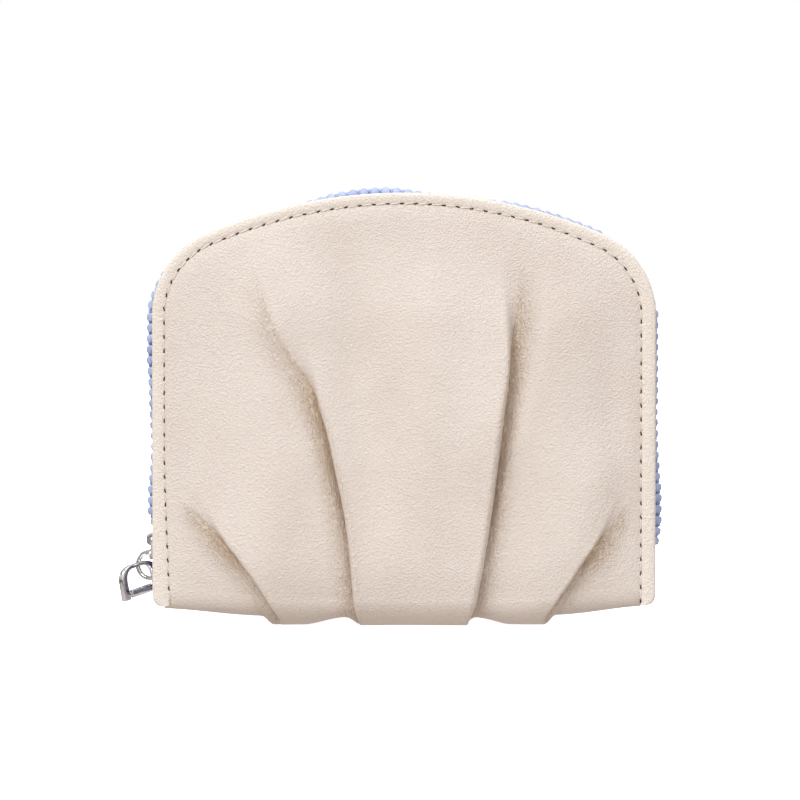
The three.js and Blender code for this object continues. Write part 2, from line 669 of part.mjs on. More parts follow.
function pullTabGeometry() {
  const half = tabWidth / 2;
  const windowHalf = bridgeWidth / 2 + clearance;
  const frame = new THREE.Shape();
  frame.moveTo(-half, eyeZ);
  frame.lineTo(half, eyeZ);
  frame.lineTo(windowHalf + tabBar, hingeZ + tabBar / 2);
  frame.lineTo(-windowHalf - tabBar, hingeZ + tabBar / 2);
  frame.closePath();
  const opening = new THREE.Path();
  opening.moveTo(-windowHalf, hingeZ - tabBar / 2);
  opening.lineTo(windowHalf, hingeZ - tabBar / 2);
  opening.lineTo(windowHalf, eyeTop - tabBar);
  opening.lineTo(-windowHalf, eyeTop - tabBar);
  opening.closePath();
  frame.holes.push(opening);
  const plate = sideExtrusion(frame, hingeX - tabBar / 2, hingeX + tabBar / 2);
  const eye = new THREE.Shape();
  eye.absellipse(0, eyeZ, half, eyeHalf, 0, 2 * Math.PI, false);
  const eyeRing = sideExtrusion(eye, hingeX + tabBar / 2 - tabEyeThickness, hingeX + tabBar / 2);
  const slot = new THREE.Shape();
  slot.absellipse(0, eyeZ, half - tabEyeSide, eyeHalf - tabBar, 0, 2 * Math.PI, false);
  const bore = sideExtrusion(slot, hingeX - 2 * tabEyeThickness, hingeX + 2 * tabEyeThickness);
  return geometryOf(solidOf(plate).add(solidOf(eyeRing)).subtract(solidOf(bore)));
}

const ringTop = new THREE.Vector3(hingeX + tabBar / 2 - tabEyeThickness / 2, 0, eyeZ);
const ringTurned = THREE.MathUtils.degToRad(ringTurn);
const ringLeaned = THREE.MathUtils.degToRad(ringLean);
const ringDown = new THREE.Vector3(
  -Math.cos(ringTurned) * Math.sin(ringLeaned),
  -Math.sin(ringTurned) * Math.sin(ringLeaned),
  -Math.cos(ringLeaned),
);
const ringMiddle = ringTop.clone().add(ringDown.multiplyScalar(ringRadius));

function pullRingGeometry() {
  const geometry = new THREE.TorusGeometry(ringRadius, ringWire / 2, 6, 20);
  geometry.rotateX(Math.PI / 2);
  return geometry;
}

// The ring passes round the stirrup's arch, which leans against it and is tilted with its right side up.
function stirrupGeometry() {
  const half = stirrupWidth / 2;
  const inside = half - stirrupLeg;
  const flat = half * archFlat;
  const outer = new THREE.Shape();
  outer.moveTo(-half - stirrupToe, -stirrupHeight);
  outer.lineTo(-inside, -stirrupHeight);
  outer.lineTo(-inside, -stirrupHeight * archInner);
  outer.quadraticCurveTo(-inside, -stirrupArch, -flat, -stirrupArch);
  outer.lineTo(flat, -stirrupArch);
  outer.quadraticCurveTo(inside, -stirrupArch, inside, -stirrupHeight * archInner);
  outer.lineTo(inside, -stirrupHeight);
  outer.lineTo(half + stirrupToe, -stirrupHeight);
  outer.lineTo(half, -stirrupHeight * archOuter);
  outer.quadraticCurveTo(half, 0, flat, 0);
  outer.lineTo(-flat, 0);
  outer.quadraticCurveTo(-half, 0, -half, -stirrupHeight * archOuter);
  outer.closePath();
  const frame = new THREE.ExtrudeGeometry(outer, {
    depth: stirrupBar - 2 * stirrupBevel, curveSegments: 4, bevelEnabled: true, bevelSegments: 1,
    bevelThickness: stirrupBevel, bevelSize: stirrupBevel, bevelOffset: -stirrupBevel,
  });
  standUp(frame, stirrupBar / 2 - stirrupBevel);
  const neckReach = half - stirrupLeg / 2;
  const barrelReach = inside - neckLength;
  const profile = [
    [0, -neckReach], [crossbarNeck, -neckReach], [crossbarNeck, -barrelReach],
    [crossbarRadius, -barrelReach], [crossbarRadius, barrelReach],
    [crossbarNeck, barrelReach], [crossbarNeck, neckReach], [0, neckReach],
  ].map(([radius, along]) => new THREE.Vector2(radius, along));
  const bar = new THREE.LatheGeometry(profile, 10);
  bar.rotateZ(Math.PI / 2);
  bar.translate(0, 0, -stirrupHeight + crossbarRadius + crossbarLift);
  return fused([frame, bar]);
}

function piece(name, geometry, finish) {
  const mesh = new THREE.Mesh(geometry, new THREE.MeshStandardMaterial(finish));
  mesh.name = name;
  return mesh;
}

const group = new THREE.Group();
group.add(piece("front_panel", frontPanel(), paint.leather));
group.add(piece("front_rim", rimGeometry(gussetDepth / 2), paint.leather));
group.add(piece("back_panel", backPanel(), paint.leather));
group.add(piece("back_rim", rimGeometry(-rimFace), paint.leather));
group.add(piece("base", baseGeometry(), paint.leather));
group.add(piece("zip_front", zipHalf(-1), paint.tape));
group.add(piece("zip_back", zipHalf(1), paint.tape));
group.add(piece("slider", sliderGeometry(), paint.silver));

const puller = new THREE.Group();
puller.add(piece("pull_tab", pullTabGeometry(), paint.silver));
const ring = piece("pull_ring", pullRingGeometry(), paint.silver);
ring.position.copy(ringMiddle);
ring.rotation.z = ringTurned;
puller.add(ring);
const stirrup = piece("pull_stirrup", stirrupGeometry(), paint.silver);
stirrup.rotation.order = "ZYX";
stirrup.rotation.z = THREE.MathUtils.degToRad(stirrupTurn);
stirrup.rotation.y = THREE.MathUtils.degToRad(-stirrupTilt);
stirrup.position.set(-stirrupOut, -stirrupForward, stirrupUp).add(ringMiddle);
puller.add(stirrup);
group.add(puller);

export default group;
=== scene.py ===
from math import asin, atan2, cos, exp, hypot, pi, radians, sin, sqrt

import bmesh
import bpy
from mathutils import Matrix, Vector
from mathutils.noise import noise


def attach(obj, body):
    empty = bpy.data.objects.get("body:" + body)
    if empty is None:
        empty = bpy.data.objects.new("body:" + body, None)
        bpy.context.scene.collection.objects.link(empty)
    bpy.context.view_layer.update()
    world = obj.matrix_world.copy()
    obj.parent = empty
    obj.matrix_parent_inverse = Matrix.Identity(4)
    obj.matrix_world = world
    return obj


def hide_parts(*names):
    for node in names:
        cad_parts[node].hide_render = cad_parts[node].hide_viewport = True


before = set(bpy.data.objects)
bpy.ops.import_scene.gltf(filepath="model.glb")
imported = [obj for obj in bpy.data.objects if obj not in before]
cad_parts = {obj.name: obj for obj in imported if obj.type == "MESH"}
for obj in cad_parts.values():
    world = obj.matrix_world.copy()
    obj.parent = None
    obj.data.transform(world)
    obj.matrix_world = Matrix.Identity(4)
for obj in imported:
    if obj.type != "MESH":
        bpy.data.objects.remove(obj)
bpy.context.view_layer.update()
print("frame loaded")


# Small sums that every piece uses.

def smooth(value):
    t = min(1.0, max(0.0, value))
    return t * t * (3 - 2 * t)


# How far a value has come from one place to another, eased at both ends.
def eased(value, start, end):
    return smooth((value - start) / (end - start))


def between(start, end, share):
    return start + (end - start) * share


# Equal steps from start to end, with both.
def evenSteps(start, end, steps):
    return [between(start, end, k / steps) for k in range(steps + 1)]


def tableValue(table, place):
    if place <= table[0][0]:
        return table[0][1]
    for (fromPlace, fromValue), (toPlace, toValue) in zip(table, table[1:]):
        if place <= toPlace:
            return between(fromValue, toValue, smooth((place - fromPlace) / (toPlace - fromPlace)))
    return table[-1][1]


# The purse's own sizes, the same as in the part.
purse = {
    "width": 114.5, "height": 98.4, "shoulderHeight": 70.5, "shoulderRadius": 20.2, "gusset": 14.0,
    "leather": 1.3, "gap": 0.3, "baseRise": 1.9, "hemSides": (0.45, 0.95),
    # share of half the width, share of baseRise
    "baseProfile": [
        (-1, 1.95), (-0.57, 1.1), (-0.52, 0), (-0.4, 0), (-0.235, 0.95), (-0.17, 0),
        (0.235, 0), (0.285, 0.9), (0.43, 0), (0.56, 0), (0.61, 1.2), (1, 2.35),
    ],
}
rim = {
    "width": 2.9, "depth": 2.5, "footLeft": 4.3, "footRight": 4.6, "footReach": 2.4, "footRound": 2.0,
    "seamLowLeft": 1.1, "seamLowReach": 40,
    # distance of the seam from the edge: share of half the width, millimetres
    "seamInset": [(-1, 2.75), (-0.6, 2.65), (0, 2.5), (0.5, 2.7), (0.8, 3.1), (1, 3.35)],
}

gap = purse["gap"]
halfWidth = purse["width"] / 2
halfGusset = purse["gusset"] / 2
shoulderX = halfWidth - purse["shoulderRadius"]
archRise = purse["height"] - purse["shoulderHeight"]
archRadius = (shoulderX ** 2 + archRise ** 2 - purse["shoulderRadius"] ** 2) / (
    2 * (archRise - purse["shoulderRadius"]))
archCentre = purse["height"] - archRadius
archAngle = asin(shoulderX / (archRadius - purse["shoulderRadius"]))
rimFace = halfGusset + rim["depth"]


class Outline:
    # Straight sides, two shoulder arcs and one arc over the top, at an inset from the edge.
    def __init__(self, inset, leftFoot, rightFoot):
        half = halfWidth - inset
        shoulder = purse["shoulderRadius"] - inset
        top = archRadius - inset
        high = purse["shoulderHeight"]
        quarter = pi / 2
        bend = quarter - archAngle
        self.parts = [
            ("line", Vector((-half, leftFoot)), Vector((0, 1)), high - leftFoot),
            ("arc", Vector((-shoulderX, high)), (shoulder, pi), shoulder * bend),
            ("arc", Vector((0, archCentre)), (top, quarter + archAngle), 2 * top * archAngle),
            ("arc", Vector((shoulderX, high)), (shoulder, bend), shoulder * bend),
            ("line", Vector((half, high)), Vector((0, -1)), high - rightFoot),
        ]
        self.length = sum(part[3] for part in self.parts)

    # Point and outward direction at a share of the way round from the left foot.
    def at(self, share):
        left = min(1.0, max(0.0, share)) * self.length
        for kind, origin, data, length in self.parts:
            if left <= length or origin is self.parts[-1][1]:
                break
            left -= length
        if kind == "line":
            return origin + data * left, Vector((-data.y, data.x))
        radius, start = data
        turn = start - left / radius
        outward = Vector((cos(turn), sin(turn)))
        return origin + outward * radius, outward


class Strand:
    # A smooth curve through points, walked by shares of its length.
    def __init__(self, points, steps=24):
        ends = [points[0]] + list(points) + [points[-1]]
        self.points = [points[0].copy()]
        for a, b, c, d in zip(ends, ends[1:], ends[2:], ends[3:]):
            for k in range(1, steps + 1):
                t = k / steps
                v0 = (c - a) * 0.5
                v1 = (d - b) * 0.5
                self.points.append(
                    (2 * b - 2 * c + v0 + v1) * t ** 3 + (-3 * b + 3 * c - 2 * v0 - v1) * t ** 2 + v0 * t + b)
        self.marks = [0.0]
        for a, b in zip(self.points, self.points[1:]):
            self.marks.append(self.marks[-1] + (b - a).length)
        self.length = self.marks[-1]

    def at(self, share):
        goal = min(1.0, max(0.0, share)) * self.length
        low, high = 0, len(self.marks) - 1
        while high - low > 1:
            middle = (low + high) // 2
            if self.marks[middle] <= goal:
                low = middle
            else:
                high = middle
        span = self.marks[high] - self.marks[low]
        return self.points[low].lerp(self.points[high], (goal - self.marks[low]) / span if span else 0)


def baseHeight(x):
    return purse["baseRise"] * tableValue(purse["baseProfile"], x / halfWidth)


def hemHeight(x):
    side = eased(abs(x) / halfWidth, *purse["hemSides"])
    return between(purse["baseRise"], max(rim["footLeft"], baseHeight(x)), side)


# The seam wanders: nearer the edge on top, further in at the right and at the lower left.
def seamInset(x, z):
    low = rim["seamLowLeft"] * (1 - smooth(z / rim["seamLowReach"])) if x < 0 else 0.0
    return tableValue(rim["seamInset"], x / halfWidth) + low


# Distance from a panel's edge, and the direction straight out to it.
def edgeAt(x, z, inset):
    side = 1 if x > 0 else -1
    across = abs(x) - shoulderX
    up = z - purse["shoulderHeight"]
    if up > 0 and across > 0 and atan2(up, across) < pi / 2 - archAngle:
        reach = hypot(across, up)
        return purse["shoulderRadius"] - inset - reach, Vector((side * across / reach, up / reach))
    sideways = halfWidth - inset - abs(x)
    reach = hypot(x, z - archCentre)
    top = archRadius - inset - reach
    if sideways < top:
        return max(0.0, sideways), Vector((side, 0))
    return max(0.0, top), Vector((x / reach, (z - archCentre) / reach))


def addObject(name, data):
    made = bpy.data.objects.new(name, data)
    bpy.context.collection.objects.link(made)
    return made


# A mesh from points in millimetres. An attribute has one vector for each point.
def makeMesh(name, points, edges, faces, attributes=None):
    mesh = bpy.data.meshes.new(name)
    mesh.from_pydata([(x / 1000, y / 1000, z / 1000) for x, y, z in points], edges, faces)
    for key, values in (attributes or {}).items():
        layer = mesh.attributes.new(key, "FLOAT_VECTOR", "POINT")
        layer.data.foreach_set("vector", [part for value in values for part in value])
    return mesh


# Turns the faces outwards and makes the object.
def closePiece(name, work, mesh, material):
    bmesh.ops.recalc_face_normals(work, faces=work.faces)
    work.to_mesh(mesh)
    work.free()
    mesh.shade_smooth()
    mesh.materials.append(material)
    return addObject(name, mesh)


def makePiece(name, points, faces, material, attributes=None):
    mesh = makeMesh(name, points, [], faces, attributes)
    work = bmesh.new()
    work.from_mesh(mesh)
    return closePiece(name, work, mesh, material)


# Faces that join two rings of points, or of their numbers.
def bridge(near, far):
    count = len(near)
    return [(near[k], near[(k + 1) % count], far[(k + 1) % count], far[k]) for k in range(count)]


# A closed tube through rings with the same number of points.
def tubePiece(name, rings, material, attributes=None):
    count = len(rings[0])
    loops = [range(i * count, (i + 1) * count) for i in range(len(rings))]
    faces = [face for near, far in zip(loops, loops[1:]) for face in bridge(near, far)]
    points = [point for ring in rings for point in ring]
    return makePiece(name, points, faces + [tuple(loops[0]), tuple(loops[-1][::-1])], material, attributes)


# Cosine and sine at equal steps round a circle.
def circle(count):
    turns = [2 * pi * k / count for k in range(count)]
    return [(cos(turn), sin(turn)) for turn in turns]


# Node writing: a wire in a sum adds its own Math nodes.

class Wire:
    def __init__(self, graph, socket):
        self.graph = graph
        self.socket = socket

    # Another output of the same node.
    def other(self, output):
        return Wire(self.graph, self.socket.node.outputs[output])

    def math(self, operation, first, second):
        return self.graph.node("Math", {"operation": operation}, {0: first, 1: second})

    def __add__(self, other):
        return self.math("ADD", self, other)

    __radd__ = __add__

    def __sub__(self, other):
        return self.math("SUBTRACT", self, other)

    def __rsub__(self, other):
        return self.math("SUBTRACT", other, self)

    def __mul__(self, other):
        return self.math("MULTIPLY", self, other)

    __rmul__ = __mul__


class Graph:
    def __init__(self, tree):
        self.tree = tree

    def feed(self, slot, value):
        if isinstance(value, Wire):
            self.tree.links.new(value.socket, slot)
        elif value is not None:
            slot.default_value = value

    # Any node: its type, which is short for a shader node, its settings, the values or wires of its
    # sockets, and the output to use.
    def node(self, kind, settings=None, sockets=None, output=0):
        made = self.tree.nodes.new(kind if "Node" in kind else "ShaderNode" + kind)
        for key, value in (settings or {}).items():
            if key == "stops":
                ramp = made.color_ramp.elements
                while len(ramp) < len(value):
                    ramp.new(1)
                for stop, (place, colour) in zip(ramp, value):
                    stop.position = place
                    stop.color = colour
            else:
                setattr(made, key, value)
        for key, value in (sockets or {}).items():
            self.feed(made.inputs[key], value)
        return Wire(self, made.outputs[output])

    def mixColour(self, share, first, second):
        return self.node("Mix", {"data_type": "RGBA"}, {0: share, 6: first, 7: second}, 2)


class Finish(Graph):
    # A material that is written as sums of wires.
    def __init__(self, name):
        self.material = bpy.data.materials.new(name)
        self.material.use_nodes = True
        super().__init__(self.material.node_tree)
        self.shader = self.tree.nodes["Principled BSDF"]

    def millimetres(self):
        place = self.node("TexCoord", output="Object")
        return self.node("VectorMath", {"operation": "SCALE"}, {0: place, "Scale": 1000.0})

    def attribute(self, name):
        return self.node("Attribute", {"attribute_name": name}, {}, "Vector")

    def noise(self, vector, scale, detail=2.0, rough=0.5):
        return self.node("TexNoise", {}, {
            "Vector": vector, "Scale": scale, "Detail": detail, "Roughness": rough})

    def ramp(self, value, start, end):
        return self.node("MapRange", {"interpolation_type": "SMOOTHSTEP"}, {
            "Value": value, "From Min": start, "From Max": end})

    def bump(self, height, distance, normal=None):
        return self.node("Bump", {}, {
            "Height": height, "Distance": distance, "Strength": 1.0, "Normal": normal})

    def use(self, **values):
        for key, value in values.items():
            self.feed(self.shader.inputs[key.replace("_", " ")], value)
        return self.material


leatherLook = {
    # The last tone on the next line is painted light: a lighter tone that makes a lit copy of the leather for the
    # rim.
    "cream": (0.735, 0.655, 0.597, 1), "pale": (0.780, 0.705, 0.648, 1), "light": (0.90, 0.825, 0.745, 1),
    # The first tone below darkens the pores, the grain's own colour, and is also the tone of the painted shade in
    # creases and fold valleys.
    "warmPoreAndPaintedShade": (0.60, 0.41, 0.23, 1), "cloudScale": 0.045, "cloudRange": (0.3, 0.7), "grainSize": 0.50,
    "fineScale": 3.2, "grainDepth": 0.00024, "poreRange": (0.25, 0.6), "poreShade": 0.10, "roughness": 0.42,
    "foldStretch": (1.0, 0.3, 0.0), "foldWaver": 0.12, "wrinkleScale": 1.6, "wrinkleDepth": 0.00042,
    # The last two values on the next line are the strength of the painted shade along crease lines and in fold
    # valleys.
    "creaseWidth": 0.10, "paintedCreaseShade": 0.36, "paintedValleyShade": 0.62,
}


def leatherFinish(name, folded, paintedLight=0.0):
    finish, look = Finish(name), leatherLook
    place = finish.millimetres()
    clouds = finish.noise(place, look["cloudScale"], 3.0)
    pebble = finish.node(
        "TexVoronoi", {"feature": "F1"},
        {"Vector": place, "Scale": 1 / look["grainSize"], "Randomness": 1.0}, "Distance")
    fine = finish.noise(place, look["fineScale"], 3.0, 0.6)
    colour = finish.mixColour(finish.ramp(clouds, *look["cloudRange"]), look["cream"], look["pale"])
    pores = 1 - finish.ramp(fine, *look["poreRange"])
    colour = finish.mixColour(pores * look["poreShade"], colour, look["warmPoreAndPaintedShade"])
    # Painted light: the leather is mixed towards a lighter tone, a lit copy of the same leather.
    colour = finish.mixColour(paintedLight, colour, look["light"])
    normal = finish.bump(pebble * 0.6 + fine * 0.8, look["grainDepth"])
    if folded:
        fold = finish.attribute("fold")
        mask = finish.node("SeparateXYZ", {}, {"Vector": fold}, "Z")
        stretched = finish.node(
            "VectorMath", {"operation": "MULTIPLY"}, {0: fold, 1: look["foldStretch"]})
        wavy = finish.node(
            "VectorMath", {"operation": "ADD"},
            {0: stretched, 1: finish.noise(place, look["foldWaver"])})
        wrinkles = finish.noise(wavy, look["wrinkleScale"], 3.0, 0.6)
        ridges = finish.node("Math", {"operation": "ABSOLUTE"}, {0: wrinkles - 0.5})
        creases = finish.ramp(ridges, 0.0, look["creaseWidth"])
        normal = finish.bump((creases * 0.5 + wrinkles) * mask, look["wrinkleDepth"], normal)
        # Painted shade: crease lines and fold valleys are darkened towards the warm tone where the fold mask is
        # strong.
        colour = finish.mixColour((1 - creases) * mask * look["paintedCreaseShade"], colour, look["warmPoreAndPaintedShade"])
        colour = finish.mixColour(mask * mask * look["paintedValleyShade"], colour, look["warmPoreAndPaintedShade"])
    return finish.use(
        Base_Color=colour, Roughness=look["roughness"] + clouds * 0.16 + fine * 0.08, Normal=normal,
        Specular_IOR_Level=0.42, Sheen_Weight=0.08, Sheen_Roughness=0.4)


# A plain finish with one noise: colours, scale and detail of the noise, the range of its mixing share.
def simpleFinish(name, colours, scale, detail=2.0, limits=None, depth=None, **values):
    finish = Finish(name)
    fine = finish.noise(finish.millimetres(), scale, detail)
    share = finish.ramp(fine, *limits) if limits else fine
    values = {key: value(fine) if callable(value) else value for key, value in values.items()}
    if depth:
        values["Normal"] = finish.bump(fine, depth)
    return finish.use(Base_Color=finish.mixColour(share, *colours), **values)


threadColours = [(0.62, 0.53, 0.45, 1), (0.86, 0.79, 0.71, 1)]
# Near black: painted shade for the shadow inside the needle holes.
holeShadeColours = [(0.018, 0.010, 0.007, 1), (0.085, 0.05, 0.035, 1)]
steelColours = [(0.80, 0.79, 0.77, 1), (0.62, 0.60, 0.55, 1)]
zipLook = {
    "tape": (0.40, 0.49, 0.74, 1), "tapeDark": (0.20, 0.26, 0.46, 1), "tooth": (0.47, 0.545, 0.75, 1),
    "toothShade": (0.36, 0.43, 0.66, 1), "threadWide": 0.9, "threadHigh": 0.42, "threadGap": 0.06,
}


def tapeFinish():
    finish = Finish("blueTape")
    run = finish.attribute("tape")
    weave = finish.node("TexBrick", {"offset": 0.5}, {
        "Vector": run, "Scale": 1.0, "Brick Width": zipLook["threadWide"], "Row Height": zipLook["threadHigh"],
        "Mortar Size": zipLook["threadGap"], "Mortar Smooth": 0.6}, "Fac")
    fibres = finish.noise(run, 5.0)
    colour = finish.mixColour(weave * 0.7 + fibres * 0.35, zipLook["tape"], zipLook["tapeDark"])
    height = (1 - weave) * 0.8 + fibres * 0.3
    return finish.use(
        Base_Color=colour, Roughness=0.85, Normal=finish.bump(height, 0.00012), Sheen_Weight=0.25)


def toothFinish():
    finish = Finish("blueTeeth")
    place = finish.millimetres()
    cloud = finish.ramp(finish.noise(place, 0.35), 0.35, 0.65)
    fine = finish.noise(place, 2.5)
    return finish.use(
        Base_Color=finish.mixColour(cloud, zipLook["tooth"], zipLook["toothShade"]),
        Roughness=0.34 + fine * 0.12, Normal=finish.bump(fine, 0.00003), Specular_IOR_Level=0.5)


frontLeather = leatherFinish("creamLeatherGathered", True)
plainLeather = leatherFinish("creamLeather", False)
# The rim is the same leather painted lighter: painted light for the light that falls on its rolled edge.
rimLeather = leatherFinish("creamLeatherRimPaintedLight", False, 0.6)
creamThread = simpleFinish("creamThread", threadColours, 4.0, depth=0.00008, Roughness=0.75)
needleHoleShade = simpleFinish("needleHoleShade", holeShadeColours, 2.0, Roughness=0.9)
blueTape = tapeFinish()
blueTeeth = toothFinish()
polishedSteel = simpleFinish(
    "polishedSteel", steelColours, 1.6, 3.0, (0.35, 0.75), 0.00002,
    Metallic=1.0, Roughness=lambda streaks: 0.10 + streaks * 0.10)
print("finishes made")


# The gathered front. Each fold is a row: top is the share of the panel's edge where it starts, via holds
# shares of half the width and of the height, side is 1 where the leather right of it lies on top.
front = {
    "sink": 0.14, "seamRise": 0.85, "seamSwell": 1.9, "belly": 3.4, "bellyReach": 26.0, "pleatRise": 2.9,
    "edgeSoft": 5.0, "edgeCrisp": 0.55, "pleatLean": 0.4, "pleatRoll": 0.36, "valley": 2.0,
    "valleyWide": 10.0, "valleyNarrow": 3.2, "footDrop": 1.6, "footReach": 19.0, "hemTurn": 4.6,
    "hemRise": 1.2, "hemShift": 0.9, "inset": 3.2, "slopeFrom": 0.95,
    # shares of the way down a fold, and what is left of its valley at the foot
    "valleyDeepens": 0.35, "valleyEases": (0.65, 0.95), "valleyFoot": 0.45, "valleyNarrows": (0.3, 0.8),
    "leanReach": 0.5,
    # the belly grows from its share at the top, and the rest fades in from the edge in millimetres
    "bellyTop": 0.35, "bellyFrom": 1.1, "dropEase": 9, "reliefEase": 8, "seamEase": 4, "uneven": 0.35,
    "unevenScale": (0.05, 0.035), "formEnd": 0.45, "wall": 2.6, "rows": 210, "hemRows": 16,
    "columns": [36, 64, 74, 64, 36],
    "folds": [
        {"top": 0.08, "valley": 0.05, "side": 1, "rise": 0.5, "riseFrom": 0.05, "riseTo": 0.85,
         "fadeFrom": 0.08, "fadeTo": 0.6,
         "via": [(-0.821, 0.261), (-0.73, 0.206), (-0.663, 0.159), (-0.599, 0.106), (-0.545, 0.055)]},
        {"top": 0.35, "valley": 0.85, "side": 1, "rise": 0.9, "riseFrom": 0.24, "riseTo": 0.8,
         "fadeFrom": 0.28, "fadeTo": 0.52,
         "via": [(-0.583, 0.806), (-0.52, 0.7), (-0.452, 0.63), (-0.373, 0.561), (-0.306, 0.46),
                 (-0.266, 0.367), (-0.226, 0.261), (-0.202, 0.159), (-0.187, 0.055)]},
        {"top": 0.607, "valley": 1.0, "side": -1, "rise": 1, "riseFrom": 0.03, "riseTo": 0.65,
         "fadeFrom": 0.08, "fadeTo": 0.42,
         "via": [(0.452, 0.829), (0.452, 0.76), (0.433, 0.684), (0.409, 0.584), (0.381, 0.476),
                 (0.353, 0.353), (0.333, 0.261), (0.302, 0.145), (0.274, 0.055)]},
        {"top": 0.92, "valley": 0.05, "side": -1, "rise": 0.5, "riseFrom": 0.05, "riseTo": 0.85,
         "fadeFrom": 0.08, "fadeTo": 0.6,
         "via": [(0.897, 0.291), (0.829, 0.238), (0.766, 0.192), (0.698, 0.136), (0.655, 0.092),
                 (0.615, 0.055)]},
    ],
    # soft hollows and swells: from x, z to x, z, half width and height in millimetres
    "softForms": [
        (-14.0, 96.0, -5.0, 4.0, 6.0, -2.1),
        (8.0, 96.0, 3.0, 14.0, 5.5, 0.8),
        (-33.0, 94.0, -20.0, 60.0, 5.0, 0.5),
        (-38.0, 90.0, -26.0, 58.0, 7.0, 0.55),
        (-43.0, 84.0, -33.0, 50.0, 5.0, -0.35),
        (48.0, 50.0, 38.0, 8.0, 6.0, 0.9),
        (46.0, 70.0, 52.0, 20.0, 4.0, -0.5),
        (-2.0, 62.0, -4.0, 12.0, 6.0, -0.7),
        (-24.0, 50.0, -32.0, 10.0, 6.0, 0.6),
        (30.0, 66.0, 27.0, 16.0, 5.0, -0.5),
    ],
}
# Creasing and painted shade beside a fold: shares of the way down, and strength and reach on the roll and below
# it.
creasingAndPaintedShade = {
    "starts": (0.04, 0.24), "faint": 0.45, "eases": (0.6, 0.9), "foot": 0.6, "onTop": (0.45, 2.0),
    "below": (1.0, 8.0), "apart": 40.0,
}
back = {
    "sink": 0.14, "seamRise": 0.85, "seamSwell": 1.9, "belly": 1.8, "bellyReach": 26.0, "rows": 110,
    "hemRows": 10,
    "columns": [16, 40, 40, 40, 16],
}

panelFoot = rim["footLeft"] + front["hemTurn"] + 2
panelEdge = Outline(front["inset"], panelFoot, panelFoot)


def footCurve(share):
    top, _ = panelEdge.at(share)
    low = Vector((top.x, hemHeight(top.x) + front["hemTurn"]))
    return Strand([top, low], 2)


def foldCurve(fold):
    top, _ = panelEdge.at(fold["top"])
    return Strand([top] + [Vector((x * halfWidth, z * purse["height"])) for x, z in fold["via"]])


curves = [footCurve(0)] + [foldCurve(fold) for fold in front["folds"]] + [footCurve(1)]
curveTops = [0.0] + [fold["top"] for fold in front["folds"]] + [1.0]


# Sideways run of a fold for each millimetre that it drops, at its lower end.
def curveSlope(curve):
    low, above = curve.at(1), curve.at(front["slopeFrom"])
    return (low.x - above.x) / (above.y - low.y)


def foldState(fold, down):
    crisp = eased(down, fold["fadeFrom"], fold["fadeTo"])
    return crisp, fold["rise"] * eased(down, fold["riseFrom"], fold["riseTo"]) * front["pleatRise"]


# Height and sideways shift of the pleats at a place in a patch between two folds.
def pleatShape(patch, across, down, width):
    folds = [None] + front["folds"] + [None]
    ends = []
    for fold, away, sign in ((folds[patch], across, 1), (folds[patch + 1], 1 - across, -1)):
        if fold is None:
            ends.append((0.0, 1.0, 0.0, 0.0))
            continue
        crisp, risen = foldState(fold, down)
        deep = front["valley"] * fold["valley"] * smooth((down - fold["riseFrom"]) / front["valleyDeepens"])
        deep *= between(1, front["valleyFoot"], eased(down, *front["valleyEases"]))
        if fold["side"] == sign:
            step = min(1.0, away * width / between(front["edgeSoft"], front["edgeCrisp"], crisp))
            lean = front["pleatLean"] * smooth(step) * (1 - smooth(away / front["leanReach"]))
            shift = -sign * crisp * (risen * front["pleatRoll"] * sin(pi * step) + lean)
            ends.append((risen, smooth(step), shift, deep * (1 - smooth(step))))
        else:
            narrow = eased(down, *front["valleyNarrows"])
            reach = away * width / between(front["valleyWide"], front["valleyNarrow"], narrow)
            ends.append((0.0, 1.0, 0.0, deep * (1 - smooth(reach))))
    (riseLeft, stepLeft, shiftLeft, dipLeft), (riseRight, stepRight, shiftRight, dipRight) = ends
    rise = between(riseLeft, riseRight, smooth(across)) * stepLeft * stepRight
    if riseLeft and riseRight:
        rise *= 1 - across * (1 - across) * min(riseLeft, riseRight) / max(riseLeft, riseRight)
    return rise - dipLeft - dipRight, shiftLeft + shiftRight


# How strongly the leather is creased beside a fold, which also sets its painted shade there: distance from it,
# way along it, strength.
def foldCreaseAndShade(patch, across, down, width):
    best = (0.0, 0.0, 0.0)
    for index, away, sign in ((patch - 1, across, 1), (patch, 1 - across, -1)):
        if not 0 <= index < len(front["folds"]):
            continue
        fold = front["folds"][index]
        crisp, _ = foldState(fold, down)
        share, wide = creasingAndPaintedShade["onTop" if fold["side"] == sign else "below"]
        along = eased(down, *creasingAndPaintedShade["starts"]) * between(creasingAndPaintedShade["faint"], 1, crisp)
        along *= between(1, creasingAndPaintedShade["foot"], eased(down, *creasingAndPaintedShade["eases"]))
        reach = away * width
        strength = along * share * (1 - smooth(reach / wide))
        if strength > best[2]:
            best = (sign * reach + creasingAndPaintedShade["apart"] * index, down * curves[index + 1].length, strength)
    return best


def softForm(x, z):
    total = 0.0
    here, end = Vector((x, z)), front["formEnd"]
    for ax, az, bx, bz, reach, height in front["softForms"]:
        start = Vector((ax, az))
        line = Vector((bx, bz)) - start
        share = min(1.0, max(0.0, (here - start).dot(line) / line.length_squared))
        away = abs(line.cross(here - start)) / line.length
        total += height * smooth(share / end) * smooth((1 - share) / end) * exp(-(away / reach) ** 2)
    return total


# Each column of a panel: its patch, the share across it, its lift over the chord and its drop to the hem.
def panelColumns(counts):
    columns = []
    for patch, count in enumerate(counts):
        left, right = curves[patch], curves[patch + 1]
        for k in range(count + (patch == len(counts) - 1)):
            across = (1 - cos(pi * k / count)) / 2
            edge, _ = panelEdge.at(between(curveTops[patch], curveTops[patch + 1], across))
            low = left.at(1).lerp(right.at(1), across)
            drop = hemHeight(low.x) + front["hemTurn"] - low.y
            columns.append((patch, across, edge - left.at(0).lerp(right.at(0), across), drop))
    return columns


